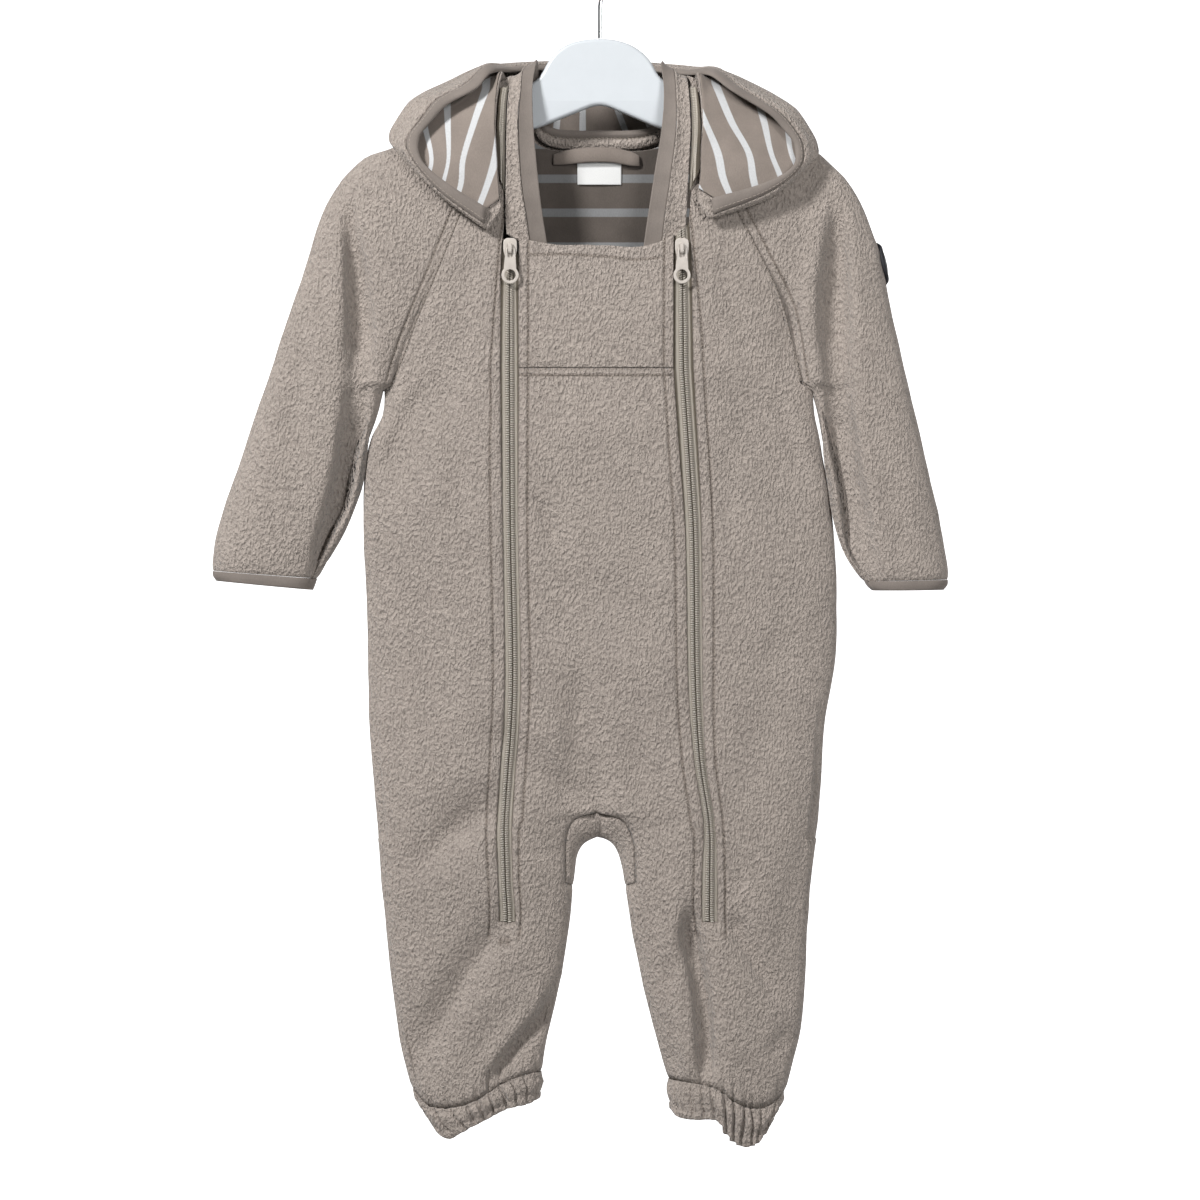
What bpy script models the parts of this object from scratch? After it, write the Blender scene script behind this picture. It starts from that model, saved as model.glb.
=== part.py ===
"""A baby's fleece overall on a child's hanger.

The garment is one shared surface of horizontal sections. Its columns follow the seams, and each piece
that is cut and sewn is a wall between the surface and a copy moved in by the cloth's thickness.
Tables hold millimetres: x from the centre line, "down" below the top of the hanger, depth from the
middle plane. The origin is the inside top of the hook, where a rod carries it; the front faces -Y.
"""
import math

import bmesh
import bpy
from mathutils import Vector
from mathutils.bvhtree import BVHTree

MM = 0.001
HANGER_DROP = 75.0        # top of the hanger below the rod
FLEECE = 2.0              # thickness of the fleece
JERSEY = 1.2              # thickness of the striped lining
BINDING = 1.6             # thickness of the smooth bindings
SEAM_GAP = 0.3            # air between two pieces at a seam
LAY_GAP = 0.35            # air between a piece and what it lies on
ROUNDNESS = 2.3           # power of the flattened oval sections
SIDE_INSET = 7.6          # side columns inside the outline of the body and legs

# ---------------------------------------------------------------- front view of the garment
# Paths (x, down) from the neck to the armpit row.
RIDGE_LEFT = [(-61.6, 24.5), (-103, 50), (-144, 75.5), (-162.4, 82), (-173, 90.3), (-181, 98.7),
              (-191, 115.5), (-198, 132.3), (-205, 154.7), (-214, 182.7), (-223.3, 210.7), (-233, 241)]
RIDGE_RIGHT = [(61.6, 24.5), (103, 49), (144, 73.5), (155, 81.5), (164, 90.3), (172, 98.7),
               (182.7, 115.5), (189.7, 132.3), (197.5, 154.7), (202.5, 182.7), (208.6, 210.7), (215.4, 241)]
RAGLAN_LEFT = [(-66.5, 46), (-97.3, 120.4), (-114.8, 163.8), (-130.2, 200.9), (-144.9, 241)]
RAGLAN_RIGHT = [(65.5, 46), (95.2, 118.3), (109.2, 145.6), (128.8, 186.9), (141.4, 241)]
ZIP_TOPS = {"left_outer": [(-66.5, 127), (-68.6, 156), (-69.3, 231)],
            "left_inner": [(-56.5, 141), (-56.7, 156), (-56.7, 231)],
            "right_inner": [(51.4, 138), (51.2, 156), (51.1, 231)],
            "right_outer": [(62.0, 127), (63.5, 156), (65.1, 231)]}
CENTRE_TOP = [(-2, 146), (-2.5, 231)]
# Top edge of the front tongue: column, down added to the straight line between its corners.
TONGUE_EDGE = [(5, 0), (6.5, 2), (8, 0), (9.5, 5), (10.4, 4), (11, 0)]
# Slit edges of the zips: down, x of the four edges from left to right.
ZIPS = [(231, -69.3, -56.7, 51.1, 65.1), (292, -68.5, -56.9, 55.5, 68.6), (346, -67.5, -57.1, 59.5, 70.7),
        (453, -66.2, -55.3, 61.6, 71.4), (506, -68.9, -58.3, 65.8, 73.5), (549, -72.1, -61.2, 72.1, 79.8),
        (590, -70.7, -60.8, 70.9, 81.7), (617, -70.2, -59.2, 70.7, 81.9), (673, -76, -66, 76, 86),
        (745, -80, -72, 80, 89)]
# Body sections: down, left, right, depth of front and back.
BODY = [(231, -152.5, 149, 20.5, 18), (262, -152.3, 150, 20.5, 18), (280, -160.5, 154, 21, 18),
        (300, -165, 158, 21, 18.5), (322, -166, 162, 21, 19), (350, -166, 165, 21, 19),
        (393, -163.8, 166.6, 21, 19), (435, -163.1, 165, 21, 19), (477, -162.4, 158.2, 21, 19),
        (519, -158.9, 155.4, 20.5, 19), (542, -157.2, 153.3, 20, 19), (594, -153, 148, 20, 18.5),
        (640, -148, 145, 19, 18)]
# Leg sections: row, outer down and x, inner seam down and x, inner outline down and x.
LEG_LEFT = [(0, 559, -156.2, 541.8, -2.5, 558.5, -2.0), (1, 566, -155.5, 545, -15.5, 560.5, -7),
            (2, 574, -154.8, 551.5, -21, 564, -12), (3, 583, -154, 561, -23.2, 570.5, -15.7),
            (4, 592, -153.2, 572, -23.2, 579, -17.2), (5, 603, -152, 590, -23.4, 592, -18.6),
            (6, 617, -150.5, 617, -26.5, 617, -20.5), (7, 645, -147.7, 645, -30.8, 645, -24.5),
            (8, 673, -144.9, 673, -36.5, 673, -30.1), (9, 701, -140.7, 699, -43, 699, -36.4),
            (10, 735, -131.6, 722.5, -46.5, 722.4, -40.6)]
LEG_RIGHT = [(0, 559, 152.2, 541.8, -2.5, 558.5, -2.0), (1, 566, 151.3, 545, 11.5, 560.5, 4),
             (2, 574, 150.2, 551, 18.5, 564, 9), (3, 583, 149, 560.5, 22.2, 570.5, 12.8),
             (4, 592, 148, 572, 23.8, 579, 15.2), (5, 603, 147.2, 590, 24.2, 592, 17.4),
             (6, 617, 146.3, 617, 27, 617, 21), (7, 645, 144.9, 645, 32.3, 645, 25.9),
             (8, 673, 142.8, 673, 38.6, 673, 32.2), (9, 701, 139.3, 700, 45.6, 700, 39.2),
             (10, 737, 129.5, 728, 53, 727.5, 47.2)]
LEG_DEPTH = [(540, 20, 18.5), (617, 19, 18), (700, 17, 16.5), (760, 15, 15)]
# Gathered leg ends: fraction from outer to inner edge, sag of the top line, sag of the hem.
CUFF_LEFT = [(0, 0, 0), (0.12, 10.5, 14.4), (0.22, 14, 18.6), (0.38, 14.6, 13.3), (0.51, 12, 9.6),
             (0.63, 7, 5.8), (0.75, 2.5, 3.3), (0.89, 0.5, 2.6), (1, 0, 0)]
CUFF_RIGHT = [(0, 0, 0), (0.16, 10, 19), (0.28, 12, 24), (0.37, 11, 22.5), (0.46, 8, 17), (0.53, 4, 9),
              (0.6, 1.5, 5.8), (0.75, 0, 6.4), (0.93, 0, 5), (1, 0, 0)]
HEM_LEFT = (752.5, -121.5, 741, -42.5)      # outer down and x, inner down and x
HEM_RIGHT = (751, 123.5, 748.5, 49.5)
CUFF_WAVES = 16
CUFF_WAVE_DEPTH = 1.3
# Sleeve sections: row, outer x and down, inner x and down, depth of front and back.
SLEEVE_LEFT = [(0, -233, 241, -150.4, 243, 17, 16), (1, -241, 263, -155.4, 262, 17, 16),
               (2, -249, 287, -163.2, 284, 17.5, 16), (3, -257.5, 312, -166.9, 306, 17.5, 16),
               (4, -265, 335, -173.0, 330, 17, 15.5), (5, -270, 354, -184, 351.5, 16.5, 15),
               (6, -271.6, 372.4, -197.5, 378, 15.5, 14.5), (7, -269, 379.6, -200.5, 386, 15, 14)]
SLEEVE_RIGHT = [(0, 215.4, 241, 146.8, 243, 17, 16), (1, 221, 265, 153.0, 264, 17, 16),
                (2, 227, 290, 157.6, 290, 17.5, 16), (3, 232.5, 314, 162.2, 314, 17.5, 16),
                (4, 237.5, 337, 165.6, 338, 17, 15.5), (5, 241.5, 358, 170.6, 360, 16.5, 15),
                (6, 244, 378.5, 184.5, 380, 15, 14), (7, 241, 386, 190.5, 386.5, 14.5, 13.5)]
CUFF_ROW = 6              # the binding starts at this sleeve row
# The deep hollow down the front of each sleeve: down, x of its middle, half width, depth.
SLEEVE_HOLLOW = {
    False: [(112, -174.5, 3.5, 0), (126, -174, 4, 1.6), (156, -171, 6, 4.6), (190, -167.5, 8, 6.6),
            (214, -167, 8.5, 6.0), (234, -168, 8.0, 3.6), (256, -170, 8, 3.6), (276, -172, 8.5, 6.0),
            (306, -175, 9.0, 6.4), (340, -185.5, 7.5, 4.5), (370, -194, 6, 2.0), (384, -197, 5, 0.5)],
    True: [(108, 165, 4, 0), (124, 165, 5, 2.2), (141, 164.7, 7, 4.5), (173, 163, 9, 6.8),
           (205, 162, 9.5, 6.6), (230, 164, 8.5, 3.8), (256, 166, 8.5, 3.8), (276, 167.5, 9.5, 6.2),
           (306, 170, 10.5, 6.6), (338, 175, 11.5, 5.2), (370, 185.6, 8.5, 2.2), (384, 190, 6, 0.5)]}
# Depth of the shoulders as one section with the sleeves: down, front, back.
SHOULDER_DEPTH = [(20, 6, 6), (35, 9.5, 9.5), (60, 14, 13.5), (90, 18, 16), (130, 20, 17.5),
                  (190, 20.5, 18), (245, 20.5, 18)]
BACK_NECK_CENTRE = 77.0   # down of the back neck at the centre
BACK_NECK_SIDE = 36.0
BACK_NECK_HALF = 63.0
# Folds: side, x and down of both ends, half width, depth (in is positive).
FOLDS = [("front", -70, 492, -22, 532, 13, 5.0), ("front", -41, 330, -28, 356, 9, 2.5),
         ("front", -15, 455, -14, 520, 11, 2.2), ("front", -78, 536, -120, 572, 14, 4.0),
         ("front", -72, 623, -124, 706, 13, 4.5), ("front", -40, 682, -70, 724, 10, 3.5),
         ("front", 63, 618, 72, 716, 9, 5.0), ("front", 94, 622, 122, 662, 11, 3.0),
         ("front", 25, 500, 48, 545, 11, 3.0), ("front", -112, 250, -138, 300, 14, 2.5),
         ("front", 100, 255, 132, 330, 15, 2.5), ("front", -20, 380, 30, 400, 16, 1.6),
         ("back", -60, 470, -10, 530, 14, 4.5), ("back", 20, 480, 60, 540, 14, 4.0),
         ("back", -115, 560, -60, 640, 14, 4.0), ("back", 110, 570, 70, 650, 14, 4.0),
         ("back", -120, 250, -80, 330, 16, 3.0), ("back", 125, 260, 80, 330, 16, 3.0),
         ("back", -25, 330, 30, 360, 16, 2.0)]
# Rows of the surface; the columns between two seams are evenly spaced.
UPPER_ROWS = 9
BODY_ROWS = [241, 260, 282, 308, 336, 366, 396, 426, 456, 484, 510, 534, 559]
LEG_ROWS = 10
SLEEVE_ROWS = 7
SLEEVE_COLUMNS = 5        # between a raglan seam and the ridge
SIDE_COLUMNS = 4          # round a side, an underarm or an inner leg
FRONT_STATIONS = (0, 4, 5, 8, 11, 12, 16)
GUSSET_ROWS = 5
LEG_OVERLAP = 9.0         # the legs' ovals meet this far beyond the centre
CROTCH_RISE = 17.2        # the crotch seam lies higher than the sides of its row
ZIP_END_ROW = 6


# ---------------------------------------------------------------- small mathematics
def smooth_row(rows, key):
    """The other columns of a table at a key, on a smooth curve through its rows."""
    if key <= rows[0][0]:
        return rows[0][1:]
    if key >= rows[-1][0]:
        return rows[-1][1:]
    i = max(k for k in range(len(rows) - 1) if rows[k][0] <= key)
    span = rows[i + 1][0] - rows[i][0]
    t = (key - rows[i][0]) / span
    before = rows[max(i - 1, 0)]
    after = rows[min(i + 2, len(rows) - 1)]
    values = []
    for c in range(1, len(rows[0])):
        a, b = rows[i][c], rows[i + 1][c]
        slope_a = (b - before[c]) / (rows[i + 1][0] - before[0]) * span
        slope_b = (after[c] - a) / (after[0] - rows[i][0]) * span
        values.append((2 * t**3 - 3 * t**2 + 1) * a + (t**3 - 2 * t**2 + t) * slope_a
                      + (3 * t**2 - 2 * t**3) * b + (t**3 - t**2) * slope_b)
    return tuple(values)


def along(path, t):
    """Point at a fraction of the length of a path."""
    keyed = [(0.0,) + tuple(path[0])]
    for a, b in zip(path, path[1:]):
        keyed.append((keyed[-1][0] + math.dist(a, b),) + tuple(b))
    return smooth_row(keyed, t * keyed[-1][0])


def mix(a, b, t):
    return a + (b - a) * t


def ease(low, high, value):
    t = min(max((value - low) / (high - low), 0.0), 1.0)
    return t * t * (3 - 2 * t)


def oval(share):
    """Depth of a flattened oval section, as a share, at a share of its half width."""
    return max(0.0, 1 - abs(share) ** ROUNDNESS) ** (1 / ROUNDNESS)


def turn_of(share):
    """Turning angle of a flattened oval at a share of its half width."""
    return math.acos(min(max(abs(share) ** (ROUNDNESS / 2), 0.0), 1.0))


def side_arc(share, step):
    """Shares of half width and depth at a step, -1 to 1, round the side from a column to its mirror."""
    angle = turn_of(share) * step
    return math.cos(angle) ** (2 / ROUNDNESS), math.copysign(abs(math.sin(angle)) ** (2 / ROUNDNESS), step)


def refined(values, fine):
    """A list with each interval divided."""
    out = []
    for a, b in zip(values, values[1:]):
        out += [mix(a, b, k / fine) for k in range(fine)]
    return out + [values[-1]]


def world(x, y, down):
    return Vector((x, y, -HANGER_DROP - down))


# ---------------------------------------------------------------- the garment's surface
def fold_depth(side, x, down):
    """How far the folds press the cloth in."""
    total = 0.0
    for row_side, x0, d0, x1, d1, width, depth in FOLDS:
        if row_side != side:
            continue
        length = math.hypot(x1 - x0, d1 - d0)
        t = ((x - x0) * (x1 - x0) + (down - d0) * (d1 - d0)) / length**2
        across = abs((x - x0) * (d1 - d0) - (down - d0) * (x1 - x0)) / length
        end = max(-t, t - 1, 0.0) * length
        total += depth * math.exp(-((across / width) ** 2) - (end / (1.3 * width)) ** 2)
    return total


def column_x(stations, column):
    """x at a column, evenly spaced between the seams."""
    for k in range(len(FRONT_STATIONS) - 1):
        low, high = FRONT_STATIONS[k], FRONT_STATIONS[k + 1]
        if column <= high:
            return mix(stations[k], stations[k + 1], (column - low) / (high - low))
    return stations[-1]


def shoulder_section(x, down, back):
    """Depth where body and sleeves are still one section."""
    left = ridge_x(RIDGE_LEFT, down)
    right = ridge_x(RIDGE_RIGHT, down)
    share = (2 * x - left - right) / (right - left)
    return smooth_row(SHOULDER_DEPTH, down)[back] * oval(min(abs(share), 1.0))


def ridge_x(ridge, down):
    """x of a shoulder ridge at a height."""
    return smooth_row([(d, x) for x, d in ridge], down)[0]


def body_depth(x, down, back):
    """Depth of the body, which turns into two legs near the crotch."""
    left, right, front_depth, back_depth = smooth_row(BODY, down)
    depth = (front_depth, back_depth)[back]
    whole = depth * oval((2 * x - left - right) / (right - left))
    to_legs = 0.85 * ease(430, 548, down)
    if to_legs == 0.0:
        return whole
    centre = LEG_LEFT[0][4]
    outer, inner = (left, centre + LEG_OVERLAP) if x < centre else (right, centre - LEG_OVERLAP)
    return mix(whole, depth * oval((2 * x - outer - inner) / (outer - inner)), to_legs)


def sleeve_share(column):
    """Share of the half width at a sleeve column: 0.9 at the raglan seam, -1 at the ridge."""
    start = turn_of(0.9)
    angle = mix(start, math.pi, column / SLEEVE_COLUMNS)
    return math.copysign(abs(math.cos(angle)) ** (2 / ROUNDNESS), math.cos(angle)), angle


def upper_front(column, t):
    stations = [along(RAGLAN_LEFT, t), along(ZIP_TOPS["left_outer"], t), along(ZIP_TOPS["left_inner"], t),
                along(CENTRE_TOP, t), along(ZIP_TOPS["right_inner"], t), along(ZIP_TOPS["right_outer"], t),
                along(RAGLAN_RIGHT, t)]
    x = column_x([s[0] for s in stations], column)
    down = column_x([s[1] for s in stations], column)
    if 5 < column < 11:
        down += smooth_row(TONGUE_EDGE, column)[0] * (1 - t) ** 2
    y = -mix(shoulder_section(x, down, 0), body_depth(x, max(down, 231), 0), ease(0.3, 1.0, t))
    return x, y + fold_depth("front", x, down), down


def upper_back(column, t):
    low = upper_front(column, 1.0)
    share = low[0] / abs(RAGLAN_LEFT[-1][0])
    top_x = share * BACK_NECK_HALF
    top_down = mix(BACK_NECK_CENTRE, BACK_NECK_SIDE, share**6)
    x = mix(top_x, low[0], t)
    down = mix(top_down, low[2], t)
    y = mix(shoulder_section(x, down, 1), body_depth(x, max(down, 231), 1), ease(0.3, 1.0, t))
    return x, y - fold_depth("back", x, down), down


def sleeve_hollow(right, x, down, depth):
    """How far the front of a sleeve lies back there, never more than it has room for."""
    middle, half, deep = smooth_row(SLEEVE_HOLLOW[right], down)
    return min(deep * math.exp(-(((x - middle) / (1.12 * half)) ** 4)), 0.48 * depth)


def upper_sleeve(right, column, t, back):
    share, angle = sleeve_share(column)
    across = (0.9 - share) / 1.9
    seam = (upper_back if back else upper_front)(16 if right else 0, t)
    ridge = along(RIDGE_RIGHT if right else RIDGE_LEFT, t)
    x = mix(seam[0], ridge[0], across)
    down = mix(seam[2], ridge[1], across)
    own = smooth_row(SLEEVE_RIGHT, 0)[4 + back] * abs(math.sin(angle)) ** (2 / ROUNDNESS)
    joined = 0.0 if column == SLEEVE_COLUMNS else shoulder_section(x, down, back)
    alone = mix(ease(0.3, 1.0, t), ease(0.05, 0.6, t), column / SLEEVE_COLUMNS)
    depth = mix(joined, own, alone)
    if not back:
        depth -= sleeve_hollow(right, x, down, depth)
    return x, depth if back else -depth, down


def crotch_bend(across):
    """How far a row has bent up towards the crotch, from side to centre."""
    return ease(0.0, 1.0, across)


def body_point(column, row_down, back):
    """Point of a body row, which is level but for the yoke seam and the crotch."""
    middle = 1 - ease(0.55, 1.0, abs(column - 8) / 8)
    down = row_down - (0 if back else 10 * middle * ease(262, 241, row_down))
    down -= CROTCH_RISE * crotch_bend(1 - abs(column - 8) / 8) * ease(456, 559, row_down)
    left, right = smooth_row(BODY, down)[:2]
    edges = smooth_row(ZIPS, down)
    x = column_x([left + SIDE_INSET, edges[0], edges[1], LEG_LEFT[0][4], edges[2], edges[3],
                  right - SIDE_INSET], column)
    depth = body_depth(x, down, back)
    press = fold_depth("back" if back else "front", x, down)
    return x, (depth - press) if back else (press - depth), down


def body_side(right_side, step, down):
    left, right, front_depth, back_depth = smooth_row(BODY, down)
    half = (right - left) / 2
    width, depth = side_arc(1 - SIDE_INSET / half, step)
    x = (left + right) / 2 + (half if right_side else -half) * width
    return x, depth * (back_depth if step > 0 else front_depth), down


def leg_point(right, column, row, back):
    table = LEG_RIGHT if right else LEG_LEFT
    outer_down, outer_x, seam_down, seam_x, inner_down, inner_x = smooth_row(table, row)
    sign = -1 if right else 1
    edges = smooth_row(ZIPS, mix(outer_down, seam_down, 0.5))
    if right:
        x = column_x([0, 0, 0, seam_x, edges[2], edges[3], outer_x - SIDE_INSET], column)
    else:
        x = column_x([outer_x + SIDE_INSET, edges[0], edges[1], seam_x, 0, 0, 0], column)
    across = (x - outer_x - sign * SIDE_INSET) / (seam_x - outer_x - sign * SIDE_INSET)
    bend = mix(crotch_bend(across), across, ease(3.0, 6.0, row))
    down = mix(outer_down, seam_down, bend) + leg_sag(right, x, row)
    share = (2 * x - outer_x - inner_x) / (inner_x - outer_x)
    depth = smooth_row(LEG_DEPTH, down)[back] * oval(share)
    if row < 5:
        depth = mix(body_depth(x, down, back), depth, ease(-2.0, 4.0, row))
    press = fold_depth("back" if back else "front", x, down)
    return x, (depth - press) if back else (press - depth), down


def leg_sag(right, x, row):
    """The leg end hangs lower in its outer half."""
    if row <= 7:
        return 0.0
    outer_x, inner_x = smooth_row(LEG_RIGHT if right else LEG_LEFT, row)[1::4]
    share = min(max((x - outer_x) / (inner_x - outer_x), 0.0), 1.0)
    return smooth_row(CUFF_RIGHT if right else CUFF_LEFT, share)[0] * ease(7.0, 10.0, row)


def leg_side(right, step, row):
    """Outer side of a leg."""
    outer_down, outer_x, _, _, _, inner_x = smooth_row(LEG_RIGHT if right else LEG_LEFT, row)
    half = abs(inner_x - outer_x) / 2
    width, depth = side_arc(1 - SIDE_INSET / half, step)
    x = (outer_x + inner_x) / 2 + (half if right else -half) * width
    front_depth, back_depth = smooth_row(LEG_DEPTH, outer_down)
    return x, depth * (back_depth if step > 0 else front_depth), outer_down + leg_sag(right, x, row)


def leg_inner(right, step, row):
    """Inner side of a leg; in the first row it is the crotch."""
    table = LEG_RIGHT if right else LEG_LEFT
    _, outer_x, seam_down, seam_x, inner_down, inner_x = smooth_row(table, row)
    half = abs(inner_x - outer_x) / 2
    share = abs(2 * seam_x - outer_x - inner_x) / abs(inner_x - outer_x)
    width, depth = side_arc(share, step)
    edge = side_arc(share, 1)
    back = 1 if step > 0 else 0
    seam = leg_point(right, 8, row, back) if row > 0 else body_point(8, BODY_ROWS[-1], back)
    inward = (width - edge[0]) / (1 - edge[0]) if edge[0] < 1 else 0.0
    x = mix(seam_x, inner_x, inward)
    y = abs(seam[1]) * depth / edge[1]
    down = mix(seam_down, inner_down, inward)
    if row < 0.01:
        bow = math.cos(math.pi / 2 * step)
        return mix(seam_x, inner_x, bow), abs(seam[1]) * math.sin(math.pi / 2 * step), \
            mix(seam_down, inner_down, bow)
    return x, y, down


def sleeve_point(right, column, row, back):
    table = SLEEVE_RIGHT if right else SLEEVE_LEFT
    outer_x, outer_down, inner_x, inner_down, *depths = smooth_row(table, row)
    share, angle = sleeve_share(column)
    inward = (share + 1) / 2
    depth = depths[back] * abs(math.sin(angle)) ** (2 / ROUNDNESS)
    x, down = mix(outer_x, inner_x, inward), mix(outer_down, inner_down, inward)
    if not back:
        depth -= sleeve_hollow(right, x, down, depth)
    return x, depth if back else -depth, down


def sleeve_side(right, step, row):
    """Underarm side of a sleeve."""
    table = SLEEVE_RIGHT if right else SLEEVE_LEFT
    outer_x, outer_down, inner_x, inner_down, *depths = smooth_row(table, row)
    width, depth = side_arc(0.9, step)
    inward = (width + 1) / 2
    y = depth * depths[1 if step > 0 else 0]
    return mix(outer_x, inner_x, inward), y, mix(outer_down, inner_down, inward)


def underarm(right, step):
    """Line shared by body and sleeve, from front to back under the arm."""
    front = upper_front(16 if right else 0, 1.0)
    back = upper_back(16 if right else 0, 1.0)
    bow = math.cos(math.pi / 2 * step)
    y = math.sin(math.pi / 2 * step) * abs(back[1] if step > 0 else front[1])
    return front[0] + (2.5 if right else -2.5) * bow, y, front[2] + 4.0 * bow


class Surface:
    """Points and labelled faces of the whole garment."""

    def __init__(self):
        self.points = []
        self.quads = []
        self.labels = []
        self.forks = {}

    def add(self, positions):
        start = len(self.points)
        self.points += [world(*p) for p in positions]
        return list(range(start, len(self.points)))

    def band(self, upper, lower, labels):
        """Faces between two closed rings."""
        count = len(upper)
        for i in range(count):
            j = (i + 1) % count
            self.quads.append((upper[i], lower[i], lower[j], upper[j]))
            self.labels.append(labels[i])

    def normals(self):
        out = [Vector() for _ in self.points]
        for a, b, c, d in self.quads:
            face = (self.points[c] - self.points[a]).cross(self.points[d] - self.points[b])
            for k in (a, b, c, d):
                out[k] += face
        for k, (one, other) in self.forks.items():
            branches = [(self.points[n] - self.points[k]).normalized() for n in (one, other)]
            out[k] = branches[0] + branches[1]
        return [n.normalized() for n in out]


def garment(fine=1):
    """The shared surface, its end rings and its zip edges."""
    surface = Surface()
    columns = refined(list(range(17)), fine)
    sleeve_columns = refined(list(range(SLEEVE_COLUMNS + 1)), fine)
    steps = refined([2 * k / SIDE_COLUMNS - 1 for k in range(SIDE_COLUMNS + 1)], fine)[1:-1]
    inner_sleeve = sleeve_columns[1:-1]

    def front_labels(row_label, yoke):
        out = []
        for c in columns[:-1]:
            slit = 4 <= c < 5 or 11 <= c < 12
            out.append("slit" if slit and row_label != "closed" else
                       ("front_yoke" if yoke and 5 <= c < 11 else "front"))
        return out

    half = len(steps) // 2 + 1
    zips = {"left": [], "right": []}
    z_cols = {"left": (columns.index(4), columns.index(5)), "right": (columns.index(11), columns.index(12))}

    # neck to armpits
    previous = None
    for t in refined([k / UPPER_ROWS for k in range(UPPER_ROWS + 1)], fine):
        front = surface.add([upper_front(c, t) for c in columns])
        right_front = surface.add([upper_sleeve(True, c, t, 0) for c in inner_sleeve])
        right_ridge = surface.add([upper_sleeve(True, SLEEVE_COLUMNS, t, 0)])
        right_back = surface.add([upper_sleeve(True, c, t, 1) for c in inner_sleeve])
        back = surface.add([upper_back(c, t) for c in columns])
        left_back = surface.add([upper_sleeve(False, c, t, 1) for c in inner_sleeve])
        left_ridge = surface.add([upper_sleeve(False, SLEEVE_COLUMNS, t, 0)])
        left_front = surface.add([upper_sleeve(False, c, t, 0) for c in inner_sleeve])
        for side, (a, b) in z_cols.items():
            zips[side].append((front[a], front[b]))
        ring = front + right_front + right_ridge + right_back[::-1] + back[::-1] + left_back + left_ridge \
            + left_front[::-1]
        if previous:
            sleeve = len(inner_sleeve) * 2 + 2
            labels = front_labels("open", True) + ["sleeve_right"] * sleeve \
                + ["back"] * (len(columns) - 1) + ["sleeve_left"] * sleeve
            surface.band(previous, ring, labels)
        previous = ring
    # underarms, shared by the body and the sleeves
    arm_right = surface.add([underarm(True, s) for s in steps])
    arm_left = surface.add([underarm(False, s) for s in steps])
    ends = {}
    arms = {}
    for right in (False, True):
        name = "right" if right else "left"
        if right:
            ring = [front[-1]] + right_front + right_ridge + right_back[::-1] + [back[-1]] + arm_right[::-1]
        else:
            ring = left_ridge + left_front[::-1] + [front[0]] + arm_left + [back[0]] + left_back
        for row in refined(list(range(SLEEVE_ROWS + 1)), fine)[1:]:
            fronts = [sleeve_point(right, c, row, 0) for c in sleeve_columns]
            backs = [sleeve_point(right, c, row, 1) for c in sleeve_columns]
            sides = [sleeve_side(right, s, row) for s in steps]
            if right:
                points = fronts + backs[-2::-1] + sides[::-1]
            else:
                points = fronts[::-1] + sides + backs[:-1]
            lower = surface.add(points)
            binding = row > CUFF_ROW + 1e-6
            surface.band(ring, lower, [("sleeve_binding_" if binding else "sleeve_") + name] * len(ring))
            for upper_point, lower_point in zip(ring, lower):
                if upper_point in (arm_right if right else arm_left):
                    arms[upper_point] = lower_point
            ring = lower
        ends["sleeve_" + name] = ring
    # armpits to crotch
    ring = front + arm_right + back[::-1] + arm_left[::-1]
    for down in refined(BODY_ROWS, fine)[1:]:
        front = surface.add([body_point(c, down, 0) for c in columns])
        side_right = surface.add([body_side(True, s, down) for s in steps])
        back = surface.add([body_point(c, down, 1) for c in columns])
        side_left = surface.add([body_side(False, s, down) for s in steps])
        for side, (a, b) in z_cols.items():
            zips[side].append((front[a], front[b]))
        lower = front + side_right + back[::-1] + side_left[::-1]
        labels = front_labels("open", False) + ["front"] * half + ["back"] * (len(columns) - 1 + 2 * half) \
            + ["front"] * half
        surface.band(ring, lower, labels[:len(lower)])
        for upper_point, lower_point in zip(ring, lower):
            if upper_point in arms:
                surface.forks[upper_point] = (arms[upper_point], lower_point)
        ring = lower
    # legs
    middle = columns.index(8)
    crotch = surface.add([leg_inner(False, s, 0.0) for s in steps])
    rings = {"left": front[:middle + 1] + crotch + back[:middle + 1][::-1] + side_left[::-1],
             "right": front[middle:] + side_right + back[middle:][::-1] + crotch[::-1]}
    for right in (False, True):
        name = "right" if right else "left"
        own = columns[middle:] if right else columns[:middle + 1]
        ring = rings[name]
        for row in refined(list(range(LEG_ROWS + 1)), fine)[1:]:
            fronts = surface.add([leg_point(right, c, row, 0) for c in own])
            sides = surface.add([leg_side(right, s, row) for s in steps])
            backs = surface.add([leg_point(right, c, row, 1) for c in own])
            inner = surface.add([leg_inner(right, s, row) for s in steps])
            closed = row > ZIP_END_ROW + 1e-6
            if not closed:
                a, b = (own.index(11), own.index(12)) if right else (own.index(4), own.index(5))
                zips[name].append((fronts[a], fronts[b]))
            labels = ["slit" if not closed and (4 <= c < 5 or 11 <= c < 12) else "front" for c in own[:-1]]
            gusset = row < GUSSET_ROWS + 1e-6
            inner_front = ["gusset" if gusset else "front"] * half
            inner_back = ["gusset" if gusset else "back"] * half
            if right:
                lower = fronts + sides + backs[::-1] + inner[::-1]
                labels += ["front"] * half + ["back"] * (half + len(own) - 1) + inner_back + inner_front
            else:
                lower = fronts + inner + backs[::-1] + sides[::-1]
                labels += inner_front + inner_back + ["back"] * (len(own) - 1 + half) + ["front"] * half
            surface.band(ring, lower, labels)
            ring = lower
        ends["leg_" + name] = ring
    return surface, ends, zips


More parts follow.
